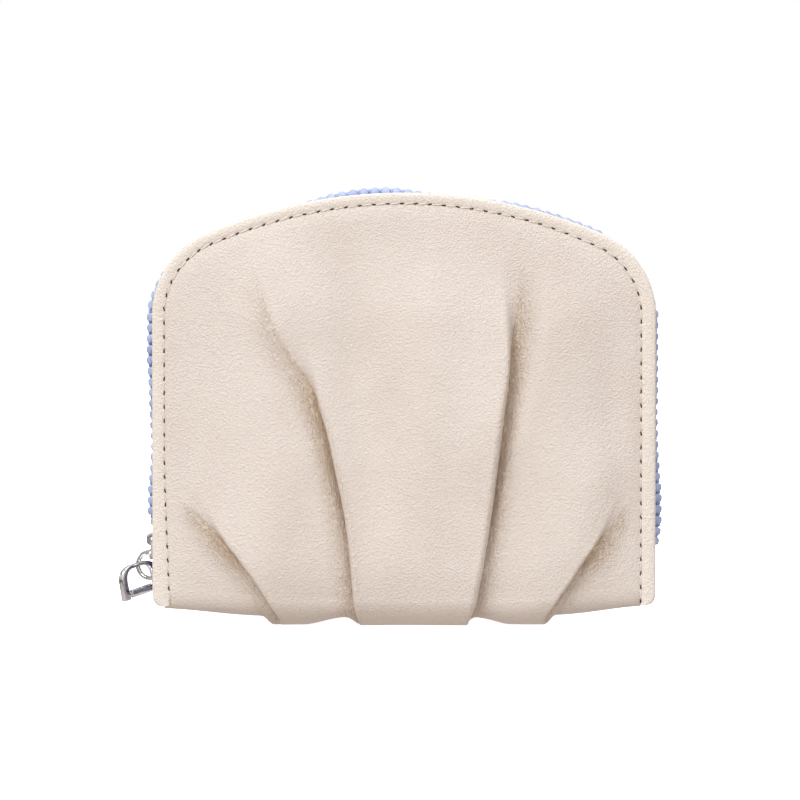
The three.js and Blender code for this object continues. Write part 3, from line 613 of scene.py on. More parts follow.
def panelPoints(style, depthSign, pleated):
    columns = panelColumns(style["columns"])
    slopes = [curveSlope(curve) if pleated else 0.0 for curve in curves]
    rows = [(k / style["rows"], 0.0) for k in range(style["rows"] + 1)]
    rows += [(1.0, k / style["hemRows"]) for k in range(1, style["hemRows"] + 1)]
    outer, inner, marks = [], [], []
    for down, hem in rows:
        ends = [curve.at(down) for curve in curves]
        for patch, across, lift, drop in columns:
            flat = ends[patch].lerp(ends[patch + 1], across) + lift * (1 - down) ** 3
            width = (ends[patch + 1] - ends[patch]).length
            flat.y += drop * down ** 3
            away, outward = edgeAt(flat.x, flat.y, front["inset"])
            belly = between(front["bellyTop"], 1, smooth(front["bellyFrom"] - flat.y / purse["height"]))
            swell = style["belly"] * belly * smooth(away / style["bellyReach"])
            nearFoot = (1 - smooth(flat.y / front["footReach"])) ** 2
            swell -= front["footDrop"] * nearFoot * smooth(away / front["dropEase"])
            swell += style["seamRise"] * (1 - exp(-away / style["seamSwell"]))
            slope = between(slopes[patch], slopes[patch + 1], across)
            rise = shift = relief = 0.0
            if pleated:
                rise, shift = pleatShape(patch, across, down, width)
                relief = softForm(flat.x, flat.y) * smooth(away / front["reliefEase"])
            scaleX, scaleZ = front["unevenScale"]
            wave = noise(Vector((flat.x * scaleX, flat.y * scaleZ, depthSign)))
            relief += front["uneven"] * wave * smooth(away / front["reliefEase"])
            pulled = front["inset"] - seamInset(flat.x, flat.y)
            flat += outward * pulled * exp(-away / front["seamEase"])
            sides = ((outer, 0.0, relief, rise, shift), (inner, front["wall"], 0.0, 0.0, 0.0))
            for points, offset, waved, risen, moved in sides:
                face = rimFace - style["sink"] + swell - offset + waved
                lifted = risen * (1 - hem * hem)
                if hem == 0:
                    points.append((flat.x + moved, depthSign * (face + lifted), flat.y))
                    continue
                foot = flat.x + slope * (flat.y - hemHeight(flat.x))
                end = baseHeight(foot) + offset
                corner = hemHeight(foot) - purse["baseRise"] + front["hemRise"] + offset
                stay, turn, gone = (1 - hem) ** 2, 2 * hem * (1 - hem), hem * hem
                depth = face * (stay + turn) + halfGusset * gone
                height = flat.y * stay + corner * turn + end * gone
                x = flat.x + slope * (flat.y - max(height, hemHeight(foot)))
                x += moved * (1 - smooth(hem / front["hemShift"]))
                under = smooth(hem)
                floor = max(offset, height - max(0.0, lifted) * under)
                points.append((x, depthSign * (depth + lifted * (1 - under)), floor))
            marks.append(foldCreaseAndShade(patch, across, down, width) if pleated else (0.0, 0.0, 0.0))
    return outer, inner, marks, len(rows), len(columns)


# The outer face is fine, the hidden inner face is coarse, and faces with more sides join the two.
def wallPiece(name, built, material, stride=4):
    outer, inner, marks, rowCount, columnCount = built
    rows, columns = range(rowCount), range(columnCount)
    rowPicks = sorted({*rows[::stride], rows[-1]})
    columnPicks = sorted({*columns[::stride], columns[-1]})
    faces = []
    for i in rows[:-1]:
        for j in columns[:-1]:
            a = i * columnCount + j
            faces.append((a, a + columnCount, a + columnCount + 1, a + 1))
    picks = [(i, j) for i in rowPicks for j in columnPicks]
    index = {pick: len(outer) + k for k, pick in enumerate(picks)}
    points = outer + [inner[i * columnCount + j] for i, j in picks]
    for i, n in zip(rowPicks, rowPicks[1:]):
        for j, m in zip(columnPicks, columnPicks[1:]):
            faces.append((index[i, j], index[i, m], index[n, m], index[n, j]))
    borders = (
        [(0, j) for j in columns], [(i, columns[-1]) for i in rows],
        [(rows[-1], j) for j in reversed(columns)], [(i, 0) for i in reversed(rows)],
    )
    for border in borders:
        picked = [k for k, spot in enumerate(border) if spot in index]
        for k, n in zip(picked, picked[1:]):
            walk = [i * columnCount + j for i, j in border[k:n + 1]]
            faces.append((*walk, index[border[n]], index[border[k]]))
    return makePiece(name, points, faces, material, {"fold": marks + [(0.0, 0.0, 0.0)] * len(picks)})


frontPanel = wallPiece("gatheredFront", panelPoints(front, -1, True), frontLeather)
backPanel = wallPiece("backPanel", panelPoints(back, 1, False), plainLeather)
print("panels made")


# A rim is a rolled strip of leather round each panel.
rimShape = {
    # share across the strip, share of its depth
    "section": [
        (0.14, 0.0), (0.03, 0.08), (0.0, 0.3), (0.0, 0.75), (0.02, 0.88), (0.08, 0.96), (0.18, 1.01),
        (0.4, 1.045), (0.62, 1.04), (0.8, 1.005), (0.92, 0.965), (0.99, 0.925), (1.0, 0.6), (1.0, 0.1),
        (0.9, 0.0),
    ],
    "steps": 300, "footSteps": 12, "lowest": 0.995, "tuck": 0.1,
}


def rimPiece(name, depthSign):
    path = Outline(0, rim["footLeft"], rim["footRight"])
    straight, count = rim["footReach"] / path.length, rimShape["footSteps"]
    foot = [straight * (1 - cos(pi / 2 * k / count)) for k in range(count)]
    shares = foot + evenSteps(straight, 1 - straight, rimShape["steps"]) + [1 - share for share in reversed(foot)]
    rings = []
    for share in shares:
        place, outward = path.at(share)
        low = max(0.0, 1 - min(share, 1 - share) / straight)
        outer = rim["footRound"] * (1 - sqrt(1 - min(rimShape["lowest"], low) ** 2))
        inner = seamInset(place.x, place.y) + rimShape["tuck"]
        rings.append([])
        for across, deep in rimShape["section"]:
            spot = place - outward * between(outer, inner, across)
            rings[-1].append((spot.x, depthSign * (halfGusset + rim["depth"] * deep), spot.y))
    return tubePiece(name, rings, rimLeather)


frontRim = rimPiece("frontRim", -1)
backRim = rimPiece("backRim", 1)

# The strip under the purse, between the two panels.
floorStrip = {"inset": 2.6, "steps": 160, "corner": 0.35}


def basePiece():
    reach = halfWidth - floorStrip["inset"]
    depth = halfGusset - gap
    corner = floorStrip["corner"]
    rings = []
    for x in evenSteps(-reach, reach, floorStrip["steps"]):
        low = baseHeight(x)
        high = low + purse["leather"]
        section = [
            (-depth, low + corner), (-depth + corner, low), (0, low), (depth - corner, low),
            (depth, low + corner), (depth, high), (0, high), (-depth, high),
        ]
        rings.append([(x, y, z) for y, z in section])
    return tubePiece("underStrip", rings, plainLeather)


underStrip = basePiece()
print("rims and base made")


# A tree that sets a shape along a guide line, turned to the guide's "up" attribute.
def repeatTree():
    tree = bpy.data.node_groups.new("shapeAlongGuide", "GeometryNodeTree")
    for name, kind in (
        ("Guide", "Geometry"), ("Shape", "Object"), ("Pitch", "Float"), ("Shift", "Float"), ("Turn", "Float"),
        ("Unevenness", "Float"), ("Seed", "Int"), ("Material", "Material"),
    ):
        tree.interface.new_socket(name, in_out="INPUT", socket_type="NodeSocket" + kind)
    tree.interface.new_socket("Result", in_out="OUTPUT", socket_type="NodeSocketGeometry")
    graph = Graph(tree)
    node = graph.node
    given = node("NodeGroupInput").other
    line = node("GeometryNodeMeshToCurve", {}, {"Mesh": given("Guide")})
    spots = node("GeometryNodeCurveToPoints", {"mode": "LENGTH"}, {"Curve": line, "Length": given("Pitch")})
    up = node("GeometryNodeInputNamedAttribute", {"data_type": "FLOAT_VECTOR"}, {"Name": "up"})
    align = "FunctionNodeAlignRotationToVector"
    along = node(align, {"axis": "X"}, {"Vector": spots.other("Tangent")})
    upright = node(align, {"axis": "Z", "pivot_axis": "X"}, {"Rotation": along, "Vector": up})
    shape = node(
        "GeometryNodeObjectInfo", {"transform_space": "ORIGINAL"}, {"Object": given("Shape")}, "Geometry")
    placed = node("GeometryNodeInstanceOnPoints", {}, {
        "Points": spots.other("Points"), "Instance": shape, "Rotation": upright})
    spread = node(
        "FunctionNodeRandomValue", {"data_type": "FLOAT"}, {2: -1.0, 3: 1.0, "Seed": given("Seed")}, 1)
    angle = given("Turn") + spread * given("Unevenness")
    moved = node("GeometryNodeTranslateInstances", {}, {
        "Instances": placed, "Translation": node("CombineXYZ", {}, {"X": given("Shift")})})
    rotated = node("GeometryNodeRotateInstances", {}, {
        "Instances": moved, "Rotation": node("CombineXYZ", {}, {"Z": angle})})
    real = node("GeometryNodeRealizeInstances", {}, {"Geometry": rotated})
    painted = node("GeometryNodeSetMaterial", {}, {"Geometry": real, "Material": given("Material")})
    graph.feed(tree.nodes.new("NodeGroupOutput").inputs["Result"], painted)
    return tree


shapeAlongGuide = repeatTree()


# Runs the tree on a guide and keeps the result as a plain mesh.
def repeatAlong(name, guidePoints, ups, shape, settings):
    edges = [(k, k + 1) for k in range(len(guidePoints) - 1)]
    guide = addObject(name + "Guide", makeMesh(name + "Guide", guidePoints, edges, [], {"up": ups}))
    modifier = guide.modifiers.new("repeat", "NODES")
    modifier.node_group = shapeAlongGuide
    values = dict(settings, Shape=shape)
    for item in shapeAlongGuide.interface.items_tree:
        if item.in_out == "INPUT" and item.name in values:
            modifier[item.identifier] = values[item.name]
    graph = bpy.context.evaluated_depsgraph_get()
    made = bpy.data.meshes.new_from_object(guide.evaluated_get(graph), depsgraph=graph)
    guide.modifiers.remove(modifier)
    bpy.data.objects.remove(guide)
    made.name = name
    stray = made.attributes.get("up")
    if stray:
        made.attributes.remove(stray)
    return addObject(name, made)


stitch = {
    "pitch": 3.18, "length": 2.35, "width": 0.38, "height": 0.24, "holeLength": 1.0, "holeWidth": 0.42,
    "footGap": 2.5, "slant": 0.10, "inward": 0.02, "loose": 0.09, "holeLoose": 0.35, "seed": 11,
    "guideSteps": 600, "sides": 8,
    # shares of half the length, of half the width and, for low and high, of the height
    "thread": [(1, 0.3, -1, -0.7), (0.86, 0.85, -1, 0.1), (0.5, 1, -1, 0.45)],
    # the same, with low and high in millimetres
    "hole": [(1, 0.3, -0.3, -0.02), (0.6, 0.85, -0.3, 0.09)],
}


# A rounded shape for the tree: rings along x, listed from the end to the middle and mirrored.
def roundShape(name, table, length, width, height):
    half = [(length / 2 * x, width / 2 * y, height * low, height * high) for x, y, low, high in table]
    rings = [(-x, *rest) for x, *rest in half] + half[::-1]
    return tubePiece(name, [
        [(x, wide * y, between(low, high, (1 + z) / 2)) for y, z in circle(stitch["sides"])]
        for x, wide, low, high in rings
    ], creamThread)


def stitchLine(name, depthSign):
    path = Outline(0, rim["footLeft"], rim["footRight"])
    points, ups = [], []
    start = stitch["footGap"] / path.length
    for share in evenSteps(start, 1 - start, stitch["guideSteps"]):
        place, outward = path.at(share)
        spot = place - outward * (seamInset(place.x, place.y) + stitch["inward"])
        points.append((spot.x, depthSign * rimFace, spot.y))
        ups.append((0.0, float(depthSign), 0.0))
    thread = roundShape(name + "Source", stitch["thread"], stitch["length"], stitch["width"], stitch["height"])
    # The hole shapes are dark marks on the leather: painted shade for the shadow inside the needle holes.
    hole = roundShape(name + "HoleSource", stitch["hole"], stitch["holeLength"], stitch["holeWidth"], 1)
    pitch = stitch["pitch"] / 1000
    common = {"Pitch": pitch, "Turn": stitch["slant"], "Seed": stitch["seed"] + depthSign}
    threads = repeatAlong(
        name, points, ups, thread, dict(common, Shift=0.0, Unevenness=stitch["loose"], Material=creamThread))
    holes = repeatAlong(
        name + "Holes", points, ups, hole,
        dict(common, Shift=pitch / 2, Unevenness=stitch["holeLoose"], Material=needleHoleShade))
    for source in (thread, hole):
        bpy.data.objects.remove(source)
    return threads, holes


frontStitches, frontHoleShades = stitchLine("frontStitches", -1)
backStitches, backHoleShades = stitchLine("backStitches", 1)
print("stitches made")


zipper = {
    "pitch": 2.46, "proud": 1.8, "backProud": 1.55, "root": 1.95, "tip": 0.8, "reach": 0.9, "back": 3.2,
    "sink": 0.4, "tapeThickness": 0.8, "sliderLow": 16.3, "sliderHigh": 22.0, "bottomRight": 16.6,
    "tapeSteps": 420, "tapeColumns": 6,
    # beside the slit the tape thins out: shares of its thickness
    "slitEdges": [(0.25, 0.85), (0.45, 0.65)],
    # share of the tooth's length from the back, share of its height
    "toothRings": [(0.0, 0.45), (0.12, 0.9), (0.5, 1.0), (0.85, 0.97), (0.96, 0.9), (1.0, 0.7)],
    # share of half the tooth's width, share of its height
    "toothCorners": [(1, 0.7), (0.85, 0.92), (0.5, 1)],
    "guideSteps": 1200, "loose": 0.02, "seed": 5,
    # share of the path, share of proud
    "bow": [
        (0, -0.9), (0.03, -0.75), (0.062, -0.75), (0.068, 0.5), (0.076, 0.85), (0.095, 0.82), (0.112, 0.55),
        (0.13, 0.4), (0.17, 0.65), (0.21, 0.95), (0.247, 0.88), (0.256, 0.63), (0.28, 0.3), (0.29, -0.2),
        (0.41, -0.2), (0.425, 0.27), (0.445, 0.62), (0.467, 0.77), (0.486, 0.77), (0.499, 0.58), (0.513, 0.3),
        (0.53, 0), (0.555, -0.05), (0.6, 0.4), (0.665, 0.4), (0.7, -0.2), (0.74, -0.2), (0.749, 0.27),
        (0.763, 0.6), (0.827, 0.6), (0.843, 0.52), (0.872, 0.62), (0.892, 0.8), (0.912, 1.05), (0.938, 1.05),
        (0.95, 0.7), (1, -0.3),
    ],
}
zipPath = Outline(0, baseHeight(-halfWidth) + purse["leather"], baseHeight(halfWidth) + purse["leather"])
zipLength = zipPath.length


def zipPlace(share):
    place, outward = zipPath.at(share)
    return place + outward * zipper["proud"] * (tableValue(zipper["bow"], share) - 1), outward


zipFoot = zipPath.at(0)[0].y
zipStart = (zipper["sliderHigh"] + gap + zipper["root"] / 2 - zipFoot) / zipLength
zipEnd = 1 - (zipper["bottomRight"] - zipPath.at(1)[0].y) / zipLength
toothCount = int((zipEnd - zipStart) * zipLength / zipper["pitch"])
slitStart = (zipper["sliderLow"] - 2 * gap - zipFoot) / zipLength
bedStart = (zipper["sliderHigh"] + gap - zipFoot) / zipLength


def tapePiece(name, side):
    inset = (gap + zipper["tapeThickness"]) / zipLength
    step = gap / zipLength
    slitEnd = zipEnd + 2 * step
    bends = [slitStart, slitStart + step, bedStart, bedStart + step, zipEnd + step, slitEnd]
    shares = sorted(evenSteps(inset, 1 - inset, zipper["tapeSteps"]) + bends)
    thick, slit = zipper["tapeThickness"], zipper["reach"] + gap
    wide = halfGusset - gap
    flatPart = [(y, 0.0, thick) for y in evenSteps(wide, slit, zipper["tapeColumns"])]
    rings, marks = [], []
    for share in shares:
        place, outward = zipPlace(share)
        if slitStart < share <= bedStart and share < slitEnd:
            edge = [(slit, low * thick, high * thick) for low, high in zipper["slitEdges"]]
        else:
            bed = 0.0 if share <= slitStart or share >= slitEnd else zipper["sink"] + gap
            edge = [(zipper["reach"], bed, bed + thick), (gap, bed, bed + thick)]
        section = flatPart + edge
        rings.append([])
        for y, depth in [(y, top) for y, top, _ in section] + [(y, low) for y, _, low in section[::-1]]:
            spot = place - outward * depth
            rings[-1].append((spot.x, side * y, spot.y))
            marks.append((share * zipLength, side * y, depth))
    return tubePiece(name, rings, blueTape, {"tape": marks})


def teethPiece(name, side):
    points, ups = [], []
    first = zipStart + (0.0 if side < 0 else 0.5 * zipper["pitch"] / zipLength)
    count = toothCount + (1 if side < 0 else 0)
    # a hair longer than its pitches, so that the last tooth isn't lost
    last = first + (count - 1 + 0.001) * zipper["pitch"] / zipLength
    for share in evenSteps(first, last, zipper["guideSteps"]):
        place, outward = zipPlace(share)
        points.append((place.x, 0.0, place.y))
        ups.append((outward.x, 0.0, outward.y))
    proud = zipper["proud"] if side < 0 else zipper["backProud"]
    rings = []
    for share, rise in zipper["toothRings"]:
        y = side * between(zipper["back"], -zipper["reach"], share)
        half, top = between(zipper["root"], zipper["tip"], share) / 2, proud * rise
        rising = [(1, -zipper["sink"])] + [(wide, top * high) for wide, high in zipper["toothCorners"]]
        rising = [(half * wide, y, z) for wide, z in rising]
        rings.append([(-x, y, z) for x, y, z in rising] + rising[::-1])
    source = tubePiece(name + "Source", rings, blueTeeth)
    piece = repeatAlong(name, points, ups, source, {
        "Pitch": zipper["pitch"] / 1000, "Shift": 0.0, "Turn": 0.0, "Unevenness": zipper["loose"],
        "Seed": zipper["seed"], "Material": blueTeeth})
    bpy.data.objects.remove(source)
    return piece


frontTape = tapePiece("frontTape", -1)
backTape = tapePiece("backTape", 1)
frontTeeth = teethPiece("frontTeeth", -1)
backTeeth = teethPiece("backTeeth", 1)
print("zip made", toothCount, "teeth a side")

metal = {"softening": 3, "bevelFrom": 50, "sharpFrom": 38}


# A flat shape with an optional window, given thickness and rounded edges, then put in its place.
def addSlab(work, outer, inner, low, high, place, rounding):
    part = bmesh.new()
    loops = [outer] + ([inner] if inner else [])
    layers = [[[part.verts.new((x, y, z)) for x, y in loop] for loop in loops] for z in (low, high)]
    faces = [face for layer in layers for face in (bridge(*layer) if inner else layer)]
    for face in faces + [face for near, far in zip(*layers) for face in bridge(near, far)]:
        part.faces.new(face)
    bmesh.ops.recalc_face_normals(part, faces=part.faces)
    sharp = [edge for edge in part.edges if edge.calc_face_angle(0) > radians(metal["bevelFrom"])]
    bmesh.ops.bevel(
        part, geom=sharp, offset=rounding, segments=metal["softening"], profile=0.5, affect="EDGES",
        clamp_overlap=True)
    bmesh.ops.transform(part, matrix=place, verts=part.verts)
    mesh = bpy.data.meshes.new("slab")
    part.to_mesh(mesh)
    part.free()
    work.from_mesh(mesh)
    bpy.data.meshes.remove(mesh)


# Rounded rectangle as a loop of points.
def roundedLoop(left, low, right, high, corner, steps=6):
    points = []
    for x, y, start in (
        (right - corner, low + corner, -90), (right - corner, high - corner, 0),
        (left + corner, high - corner, 90), (left + corner, low + corner, 180),
    ):
        for k in range(steps + 1):
            turn = radians(start + 90 * k / steps)
            points.append((x + corner * cos(turn), y + corner * sin(turn)))
    return points


def ovalLoop(middle, wide, tall, steps=40):
    return [(wide * x, middle + tall * y) for x, y in circle(steps)]


# Turned shape about an axis: pairs of place along it and radius.
def addTurned(work, profile, place, sides=28):
    rings = [
        [work.verts.new(place @ Vector((along, radius * y, radius * z))) for y, z in circle(sides)]
        for along, radius in profile
    ]
    for face in [rings[0], rings[-1]] + [face for pair in zip(rings, rings[1:]) for face in bridge(*pair)]:
        work.faces.new(face)


def metalPiece(name, work):
    bmesh.ops.scale(work, vec=(0.001, 0.001, 0.001), verts=work.verts)
    piece = closePiece(name, work, bpy.data.meshes.new(name), polishedSteel)
    piece.data.set_sharp_from_angle(angle=radians(metal["sharpFrom"]))
    return piece


slider = {
    "width": 7.6, "plate": 0.9, "plateSoft": 0.22, "corner": 1.6,
    "post": 1.0, "postCorner": 0.3, "postSoft": 0.08, "railCorner": 0.2, "railSoft": 0.1, "overlap": 0.2,
    "bridgeLow": 17.6, "bridgeHigh": 20.55, "bridgeRound": 1.05, "bridgeBar": 0.65, "bridgeThicker": 0.45,
    "bridgeOpening": 1.3, "bridgeWidth": 1.6, "bridgeSoft": 0.16, "bridgeOut": 0.6, "windowCorner": 0.3,
}
tab = {
    "bar": 0.62, "width": 4.8, "low": 14.4, "eyeThickness": 1.0, "eyeSide": 0.8, "eyeRise": 0.07,
    "barSoft": 0.14, "eyeSoft": 0.2, "steps": 7,
}
ring = {"radius": 2.95, "wire": 1.1, "turn": -30, "lean": 15, "around": 72, "sides": 18}
# foot and flank are shares of the height, flat is a share of half the width
stirrupForm = {
    "width": 10.4, "height": 7.7, "bar": 1.5, "leg": 1.73, "arch": 0.85, "soft": 0.32,
    "offset": (-2.95, -0.7, 0.5), "tilt": 14, "turn": 36, "flat": 0.25, "innerFlank": 0.55, "outerFlank": 0.5,
    "splay": 0.2, "innerSteps": 14, "outerSteps": 16,
    "crossbar": 0.95, "neck": 0.55, "neckGap": 0.5, "step": 0.02, "chamfer": 0.15, "crossbarRise": 0.2,
}
# These turn a slab's shape into the side view, depth along x, and the front view, depth along y.
sideways = Matrix(((0, 0, 1, 0), (1, 0, 0, 0), (0, 1, 0, 0), (0, 0, 0, 1)))
frontal = Matrix(((1, 0, 0, 0), (0, 0, -1, 0), (0, 1, 0, 0), (0, 0, 0, 1)))
sliderShare = ((zipper["sliderLow"] + zipper["sliderHigh"]) / 2 - zipFoot) / zipLength
sliderFace = zipPlace(sliderShare)[0].x
plateInner = sliderFace - zipper["proud"] - gap
plateOuter = plateInner - slider["plate"]
hingeX = plateOuter - slider["bridgeOpening"] / 2
hingeZ = slider["bridgeLow"] + slider["bridgeBar"] + gap + tab["bar"] / 2
eyeTop = slider["bridgeLow"] - gap
eyeZ = (eyeTop + tab["low"]) / 2


def sliderPiece():
    work = bmesh.new()
    half, rail, overlap = slider["width"] / 2, slider["width"] / 2 - slider["bridgeBar"], slider["overlap"]
    low, high, corner = zipper["sliderLow"], zipper["sliderHigh"], slider["corner"]
    tapeInner = sliderFace + zipper["tapeThickness"] + gap
    plate = roundedLoop(-half, low, half, high, corner)
    post = roundedLoop(
        -slider["post"] / 2, low + corner / 2, slider["post"] / 2, high - corner, slider["postCorner"], 3)
    rails = [
        roundedLoop(left, low + corner, right, high - corner, slider["railCorner"], 3)
        for left, right in ((-half, -rail), (rail, half))
    ]
    for shape, start, end, soft in (
        (plate, plateOuter, plateInner, slider["plateSoft"]),
        (plate, tapeInner, tapeInner + slider["plate"], slider["plateSoft"]),
        (post, plateInner - overlap, tapeInner + overlap, slider["postSoft"]),
        (rails[0], plateInner - overlap, sliderFace - gap, slider["railSoft"]),
        (rails[1], plateInner - overlap, sliderFace - gap, slider["railSoft"]),
    ):
        addSlab(work, shape, None, start, end, sideways, soft)
    bar, thicker = slider["bridgeBar"], slider["bridgeThicker"]
    low, high, half = slider["bridgeLow"], slider["bridgeHigh"], slider["bridgeWidth"] / 2
    out = plateOuter - slider["bridgeOpening"] - bar
    outer = roundedLoop(out, low, plateOuter + overlap, high, slider["bridgeRound"])
    inner = roundedLoop(
        out + bar + slider["bridgeOut"] * thicker, low + bar, plateOuter, high - bar - thicker,
        slider["windowCorner"])
    addSlab(work, outer, inner, -half, half, frontal, slider["bridgeSoft"])
    return metalPiece("zipSlider", work)


def tabPiece():
    work = bmesh.new()
    half, bar, steps = tab["width"] / 2, tab["bar"], tab["steps"]
    window = slider["bridgeWidth"] / 2 + gap
    low, high = hingeZ - bar / 2, hingeZ + bar / 2
    corners = [(-half, eyeZ), (half, eyeZ), (window + bar, high), (-window - bar, high)]
    holes = [(-window, eyeTop - bar), (window, eyeTop - bar), (window, low), (-window, low)]

    def walk(loop):
        return [
            tuple(between(a, b, k / steps) for a, b in zip(loop[i], loop[(i + 1) % 4]))
            for i in range(4) for k in range(steps)
        ]

    addSlab(work, walk(corners), walk(holes), hingeX - bar / 2, hingeX + bar / 2, sideways, tab["barSoft"])
    # The eye ends below the bar, so that it passes the bridge when the pull swings up.
    eyeRise = eyeTop - bar + tab["eyeRise"]
    middle, reach = (eyeRise + tab["low"]) / 2, (eyeRise - tab["low"]) / 2
    eye, slot = ovalLoop(middle, half, reach), ovalLoop(middle, half - tab["eyeSide"], reach - bar)
    front = hingeX + bar / 2
    addSlab(work, eye, slot, front - tab["eyeThickness"], front, sideways, tab["eyeSoft"])
    return metalPiece("pullTab", work)


ringTurned, ringLeaned = radians(ring["turn"]), radians(ring["lean"])
ringTop = Vector((hingeX + tab["bar"] / 2 - tab["eyeThickness"] / 2, 0, eyeZ))
ringMiddle = ringTop - ring["radius"] * Vector((
    cos(ringTurned) * sin(ringLeaned), sin(ringTurned) * sin(ringLeaned),
    cos(ringLeaned)))


def ringPiece():
    work = bmesh.new()
    turned = Matrix.Rotation(ringTurned, 3, "Z")
    rings = []
    for x, z in circle(ring["around"]):
        out = Vector((x, 0, z))
        rings.append([])
        for far, side in circle(ring["sides"]):
            wire = ring["wire"] / 2 * (out * far + Vector((0, 1, 0)) * side)
            rings[-1].append(work.verts.new(ringMiddle + turned @ (out * ring["radius"] + wire)))
    for pair in zip(rings, rings[1:] + rings[:1]):
        for face in bridge(*pair):
            work.faces.new(face)
    return metalPiece("jumpRing", work)


def bend(start, middle, end, steps):
    shares = [k / steps for k in range(1, steps + 1)]
    return [
        tuple((1 - t) ** 2 * a + 2 * t * (1 - t) * b + t * t * c for a, b, c in zip(start, middle, end))
        for t in shares
    ]


def stirrupPiece():
    work, form = bmesh.new(), stirrupForm
    half, tall, arch = form["width"] / 2, form["height"], form["arch"]
    flat, inner = half * form["flat"], half - form["leg"]
    innerLow, outerLow = -tall * form["innerFlank"], -tall * form["outerFlank"]
    outline = [(flat, -arch), *bend((flat, -arch), (inner, -arch), (inner, innerLow), form["innerSteps"])]
    outline += [(inner, -tall), (half + form["splay"], -tall), (half, outerLow)]
    outline += bend((half, outerLow), (half, 0), (flat, 0), form["outerSteps"])
    outline += [(-x, z) for x, z in reversed(outline)]
    turned = Matrix.Rotation(radians(form["turn"]), 3, "Z")
    turned = turned @ Matrix.Rotation(radians(-form["tilt"]), 3, "Y")
    place = Matrix.Translation(ringMiddle + Vector(form["offset"])) @ turned.to_4x4()
    addSlab(work, outline, None, -form["bar"] / 2, form["bar"] / 2, place @ frontal, form["soft"])
    thick, neck, chamfer = form["crossbar"], form["neck"], form["chamfer"]
    barrel = inner - form["neckGap"]
    profile = [
        (half - form["leg"] / 2, neck), (barrel + form["step"], neck), (barrel, thick - chamfer),
        (barrel - chamfer, thick),
    ]
    profile = [(-along, radius) for along, radius in profile] + profile[::-1]
    addTurned(work, profile, place @ Matrix.Translation((0, 0, -tall + thick + form["crossbarRise"])))
    return metalPiece("stirrup", work)


zipSlider = sliderPiece()
pullTab = tabPiece()
jumpRing = ringPiece()
stirrup = stirrupPiece()
print("slider and pull made")


# Riding and replacing.
leatherPieces = [
    (frontPanel, "front_panel"), (backPanel, "back_panel"), (frontRim, "front_rim"), (backRim, "back_rim"),
    (underStrip, "base"), (frontStitches, None), (frontHoleShades, None), (backStitches, None), (backHoleShades, None),
]
zipPieces = [
    (frontTape, "zip_front"), (frontTeeth, "zip_front"), (backTape, "zip_back"), (backTeeth, "zip_back"),
]
pullPieces = [(pullTab, "pull_tab"), (jumpRing, "pull_ring"), (stirrup, "pull_stirrup")]
for pieces, body, slot in (
    (leatherPieces, "purse", "cream_leather"), (zipPieces, "purse", "blue_zip"),
    ([(zipSlider, "slider")], "purse", "silver_metal"), (pullPieces, "pull", "silver_metal"),
):
    for piece, node in pieces:
        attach(piece, body)
        if node:
            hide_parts(node)
print("pieces ride on their bodies")


# Studio: a white floor, a soft key from the upper left, and a long lens from the front.
studio = {
    "floorSize": 8.0,
    # height of the direction from -1, straight down, to 1, straight up, and the light from there
    "lightBands": [(-0.5, (0.72, 0.63, 0.56)), (0.0, (0.51, 0.485, 0.47)), (0.6, (0.62, 0.62, 0.63))],
    # share of that light that comes from the far right
    "rightShade": 0.8,
    "mirrorBands": [
        (-1, (0.5, 0.47, 0.5)), (-0.6, (0.8, 0.77, 0.85)), (-0.3, (0.6, 0.57, 0.6)),
        (-0.17, (0.03, 0.026, 0.02)), (-0.04, (0.42, 0.4, 0.45)), (0.1, (0.72, 0.69, 0.78)),
        (0.28, (0.8, 0.78, 0.85)), (0.42, (0.05, 0.045, 0.03)), (0.55, (0.95, 0.94, 0.97)),
        (0.85, (0.22, 0.2, 0.18)),
    ],
    "key": (1.56, -38, 42, 26), "fill": (0.62, 30, 25, 60), "top": (1.4, 0, 88, 50), "cameraDistance": 1.0,
    "cameraRise": 2.0, "frameWidth": 0.18176, "target": (-0.0009, -0.0095, 0.0513), "sensor": 36,
}


def makeFloor():
    half = studio["floorSize"] / 2 * 1000
    corners = [(-half, -half, 0), (half, -half, 0), (half, half, 0), (-half, half, 0)]
    floor = addObject("studioFloor", makeMesh("studioFloor", corners, [], [(0, 1, 2, 3)]))
    floor.data.materials.append(simpleFinish(
        "paleFloor", [(0.93, 0.92, 0.94, 1), (0.94, 0.935, 0.95, 1)], 0.002, Roughness=0.9,
        Specular_IOR_Level=0.1, Emission_Color=(0.93, 0.9, 0.97, 1), Emission_Strength=0.8))
    floor.visible_diffuse = False
    floor.visible_glossy = False


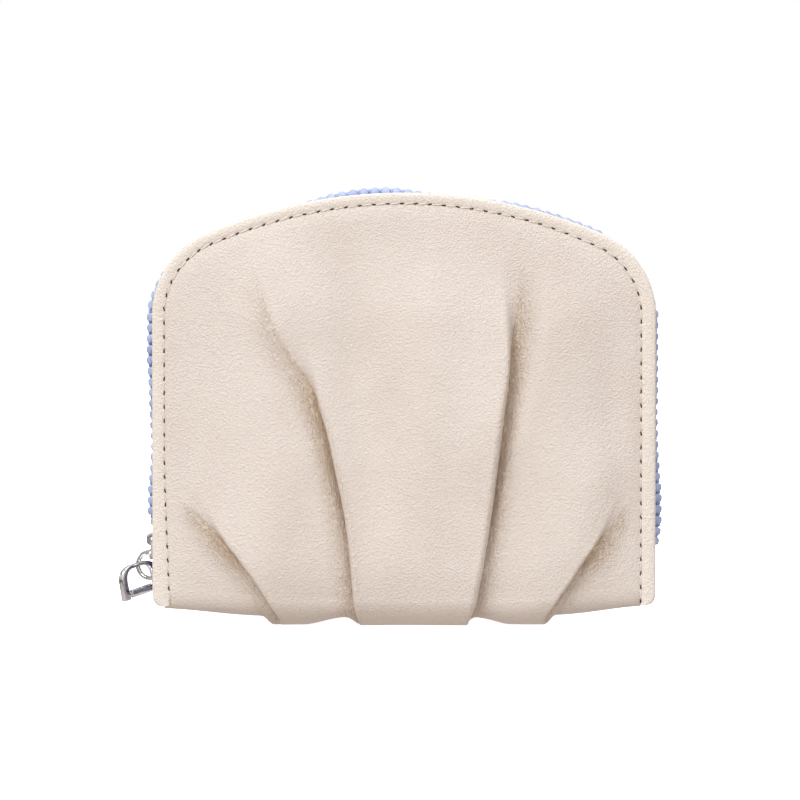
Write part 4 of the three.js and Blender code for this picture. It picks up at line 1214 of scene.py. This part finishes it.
# A soft far light: strength, degrees right of the front, degrees up, degrees across.
def makeLight(name, strength, turn, rise, spread):
    light = bpy.data.lights.new(name, "SUN")
    light.energy = strength
    light.angle = radians(spread)
    lamp = addObject(name, light)
    turn, rise = radians(turn), radians(rise)
    toward = Vector((sin(turn) * cos(rise), -cos(turn) * cos(rise), sin(rise)))
    lamp.location = toward
    lamp.rotation_euler = toward.to_track_quat("Z", "Y").to_euler()


# White where the camera sees it. For its light it is brighter above than below, and metal mirrors dark bands.
def makeWorld():
    world = bpy.data.worlds.new("studioWorld")
    world.use_nodes = True
    sky = Graph(world.node_tree)
    direction = sky.node("TexCoord", output="Generated")
    parts = sky.node("SeparateXYZ", {}, {0: direction})
    height = sky.node("MapRange", {}, {"Value": parts.other("Z"), "From Min": -1})
    soft, mirrored = [
        sky.node("ValToRGB", {
            "stops": [((place + 1) / 2, (*colour, 1)) for place, colour in studio[key]]}, {0: height})
        for key in ("lightBands", "mirrorBands")
    ]
    side = sky.node("MapRange", {}, {
        "Value": parts.other("X"), "From Min": -0.2, "From Max": 1.0, "To Min": 1.0,
        "To Max": studio["rightShade"]})
    shaded = sky.node("VectorMath", {"operation": "SCALE"}, {0: soft, "Scale": side})
    path = sky.node("LightPath")
    lit = sky.mixColour(path.other("Is Glossy Ray"), shaded, mirrored)
    shown = sky.mixColour(path.other("Is Camera Ray"), lit, (1, 1, 1, 1))
    sky.feed(world.node_tree.nodes["Background"].inputs["Color"], shown)
    bpy.context.scene.world = world


def makeCamera():
    target = Vector(studio["target"])
    rise = radians(studio["cameraRise"])
    place = target + studio["cameraDistance"] * Vector((0, -cos(rise), sin(rise)))
    lens = bpy.data.cameras.new("studioCamera")
    lens.sensor_width = studio["sensor"]
    lens.lens = studio["sensor"] * studio["cameraDistance"] / studio["frameWidth"]
    camera = addObject("studioCamera", lens)
    camera.location = place
    camera.rotation_euler = (target - place).to_track_quat("-Z", "Y").to_euler()
    bpy.context.scene.camera = camera


makeFloor()
makeWorld()
for name in ("key", "fill", "top"):
    makeLight(name + "Light", *studio[name])
makeCamera()
bpy.context.scene.view_settings.view_transform = "Standard"
print("studio made")
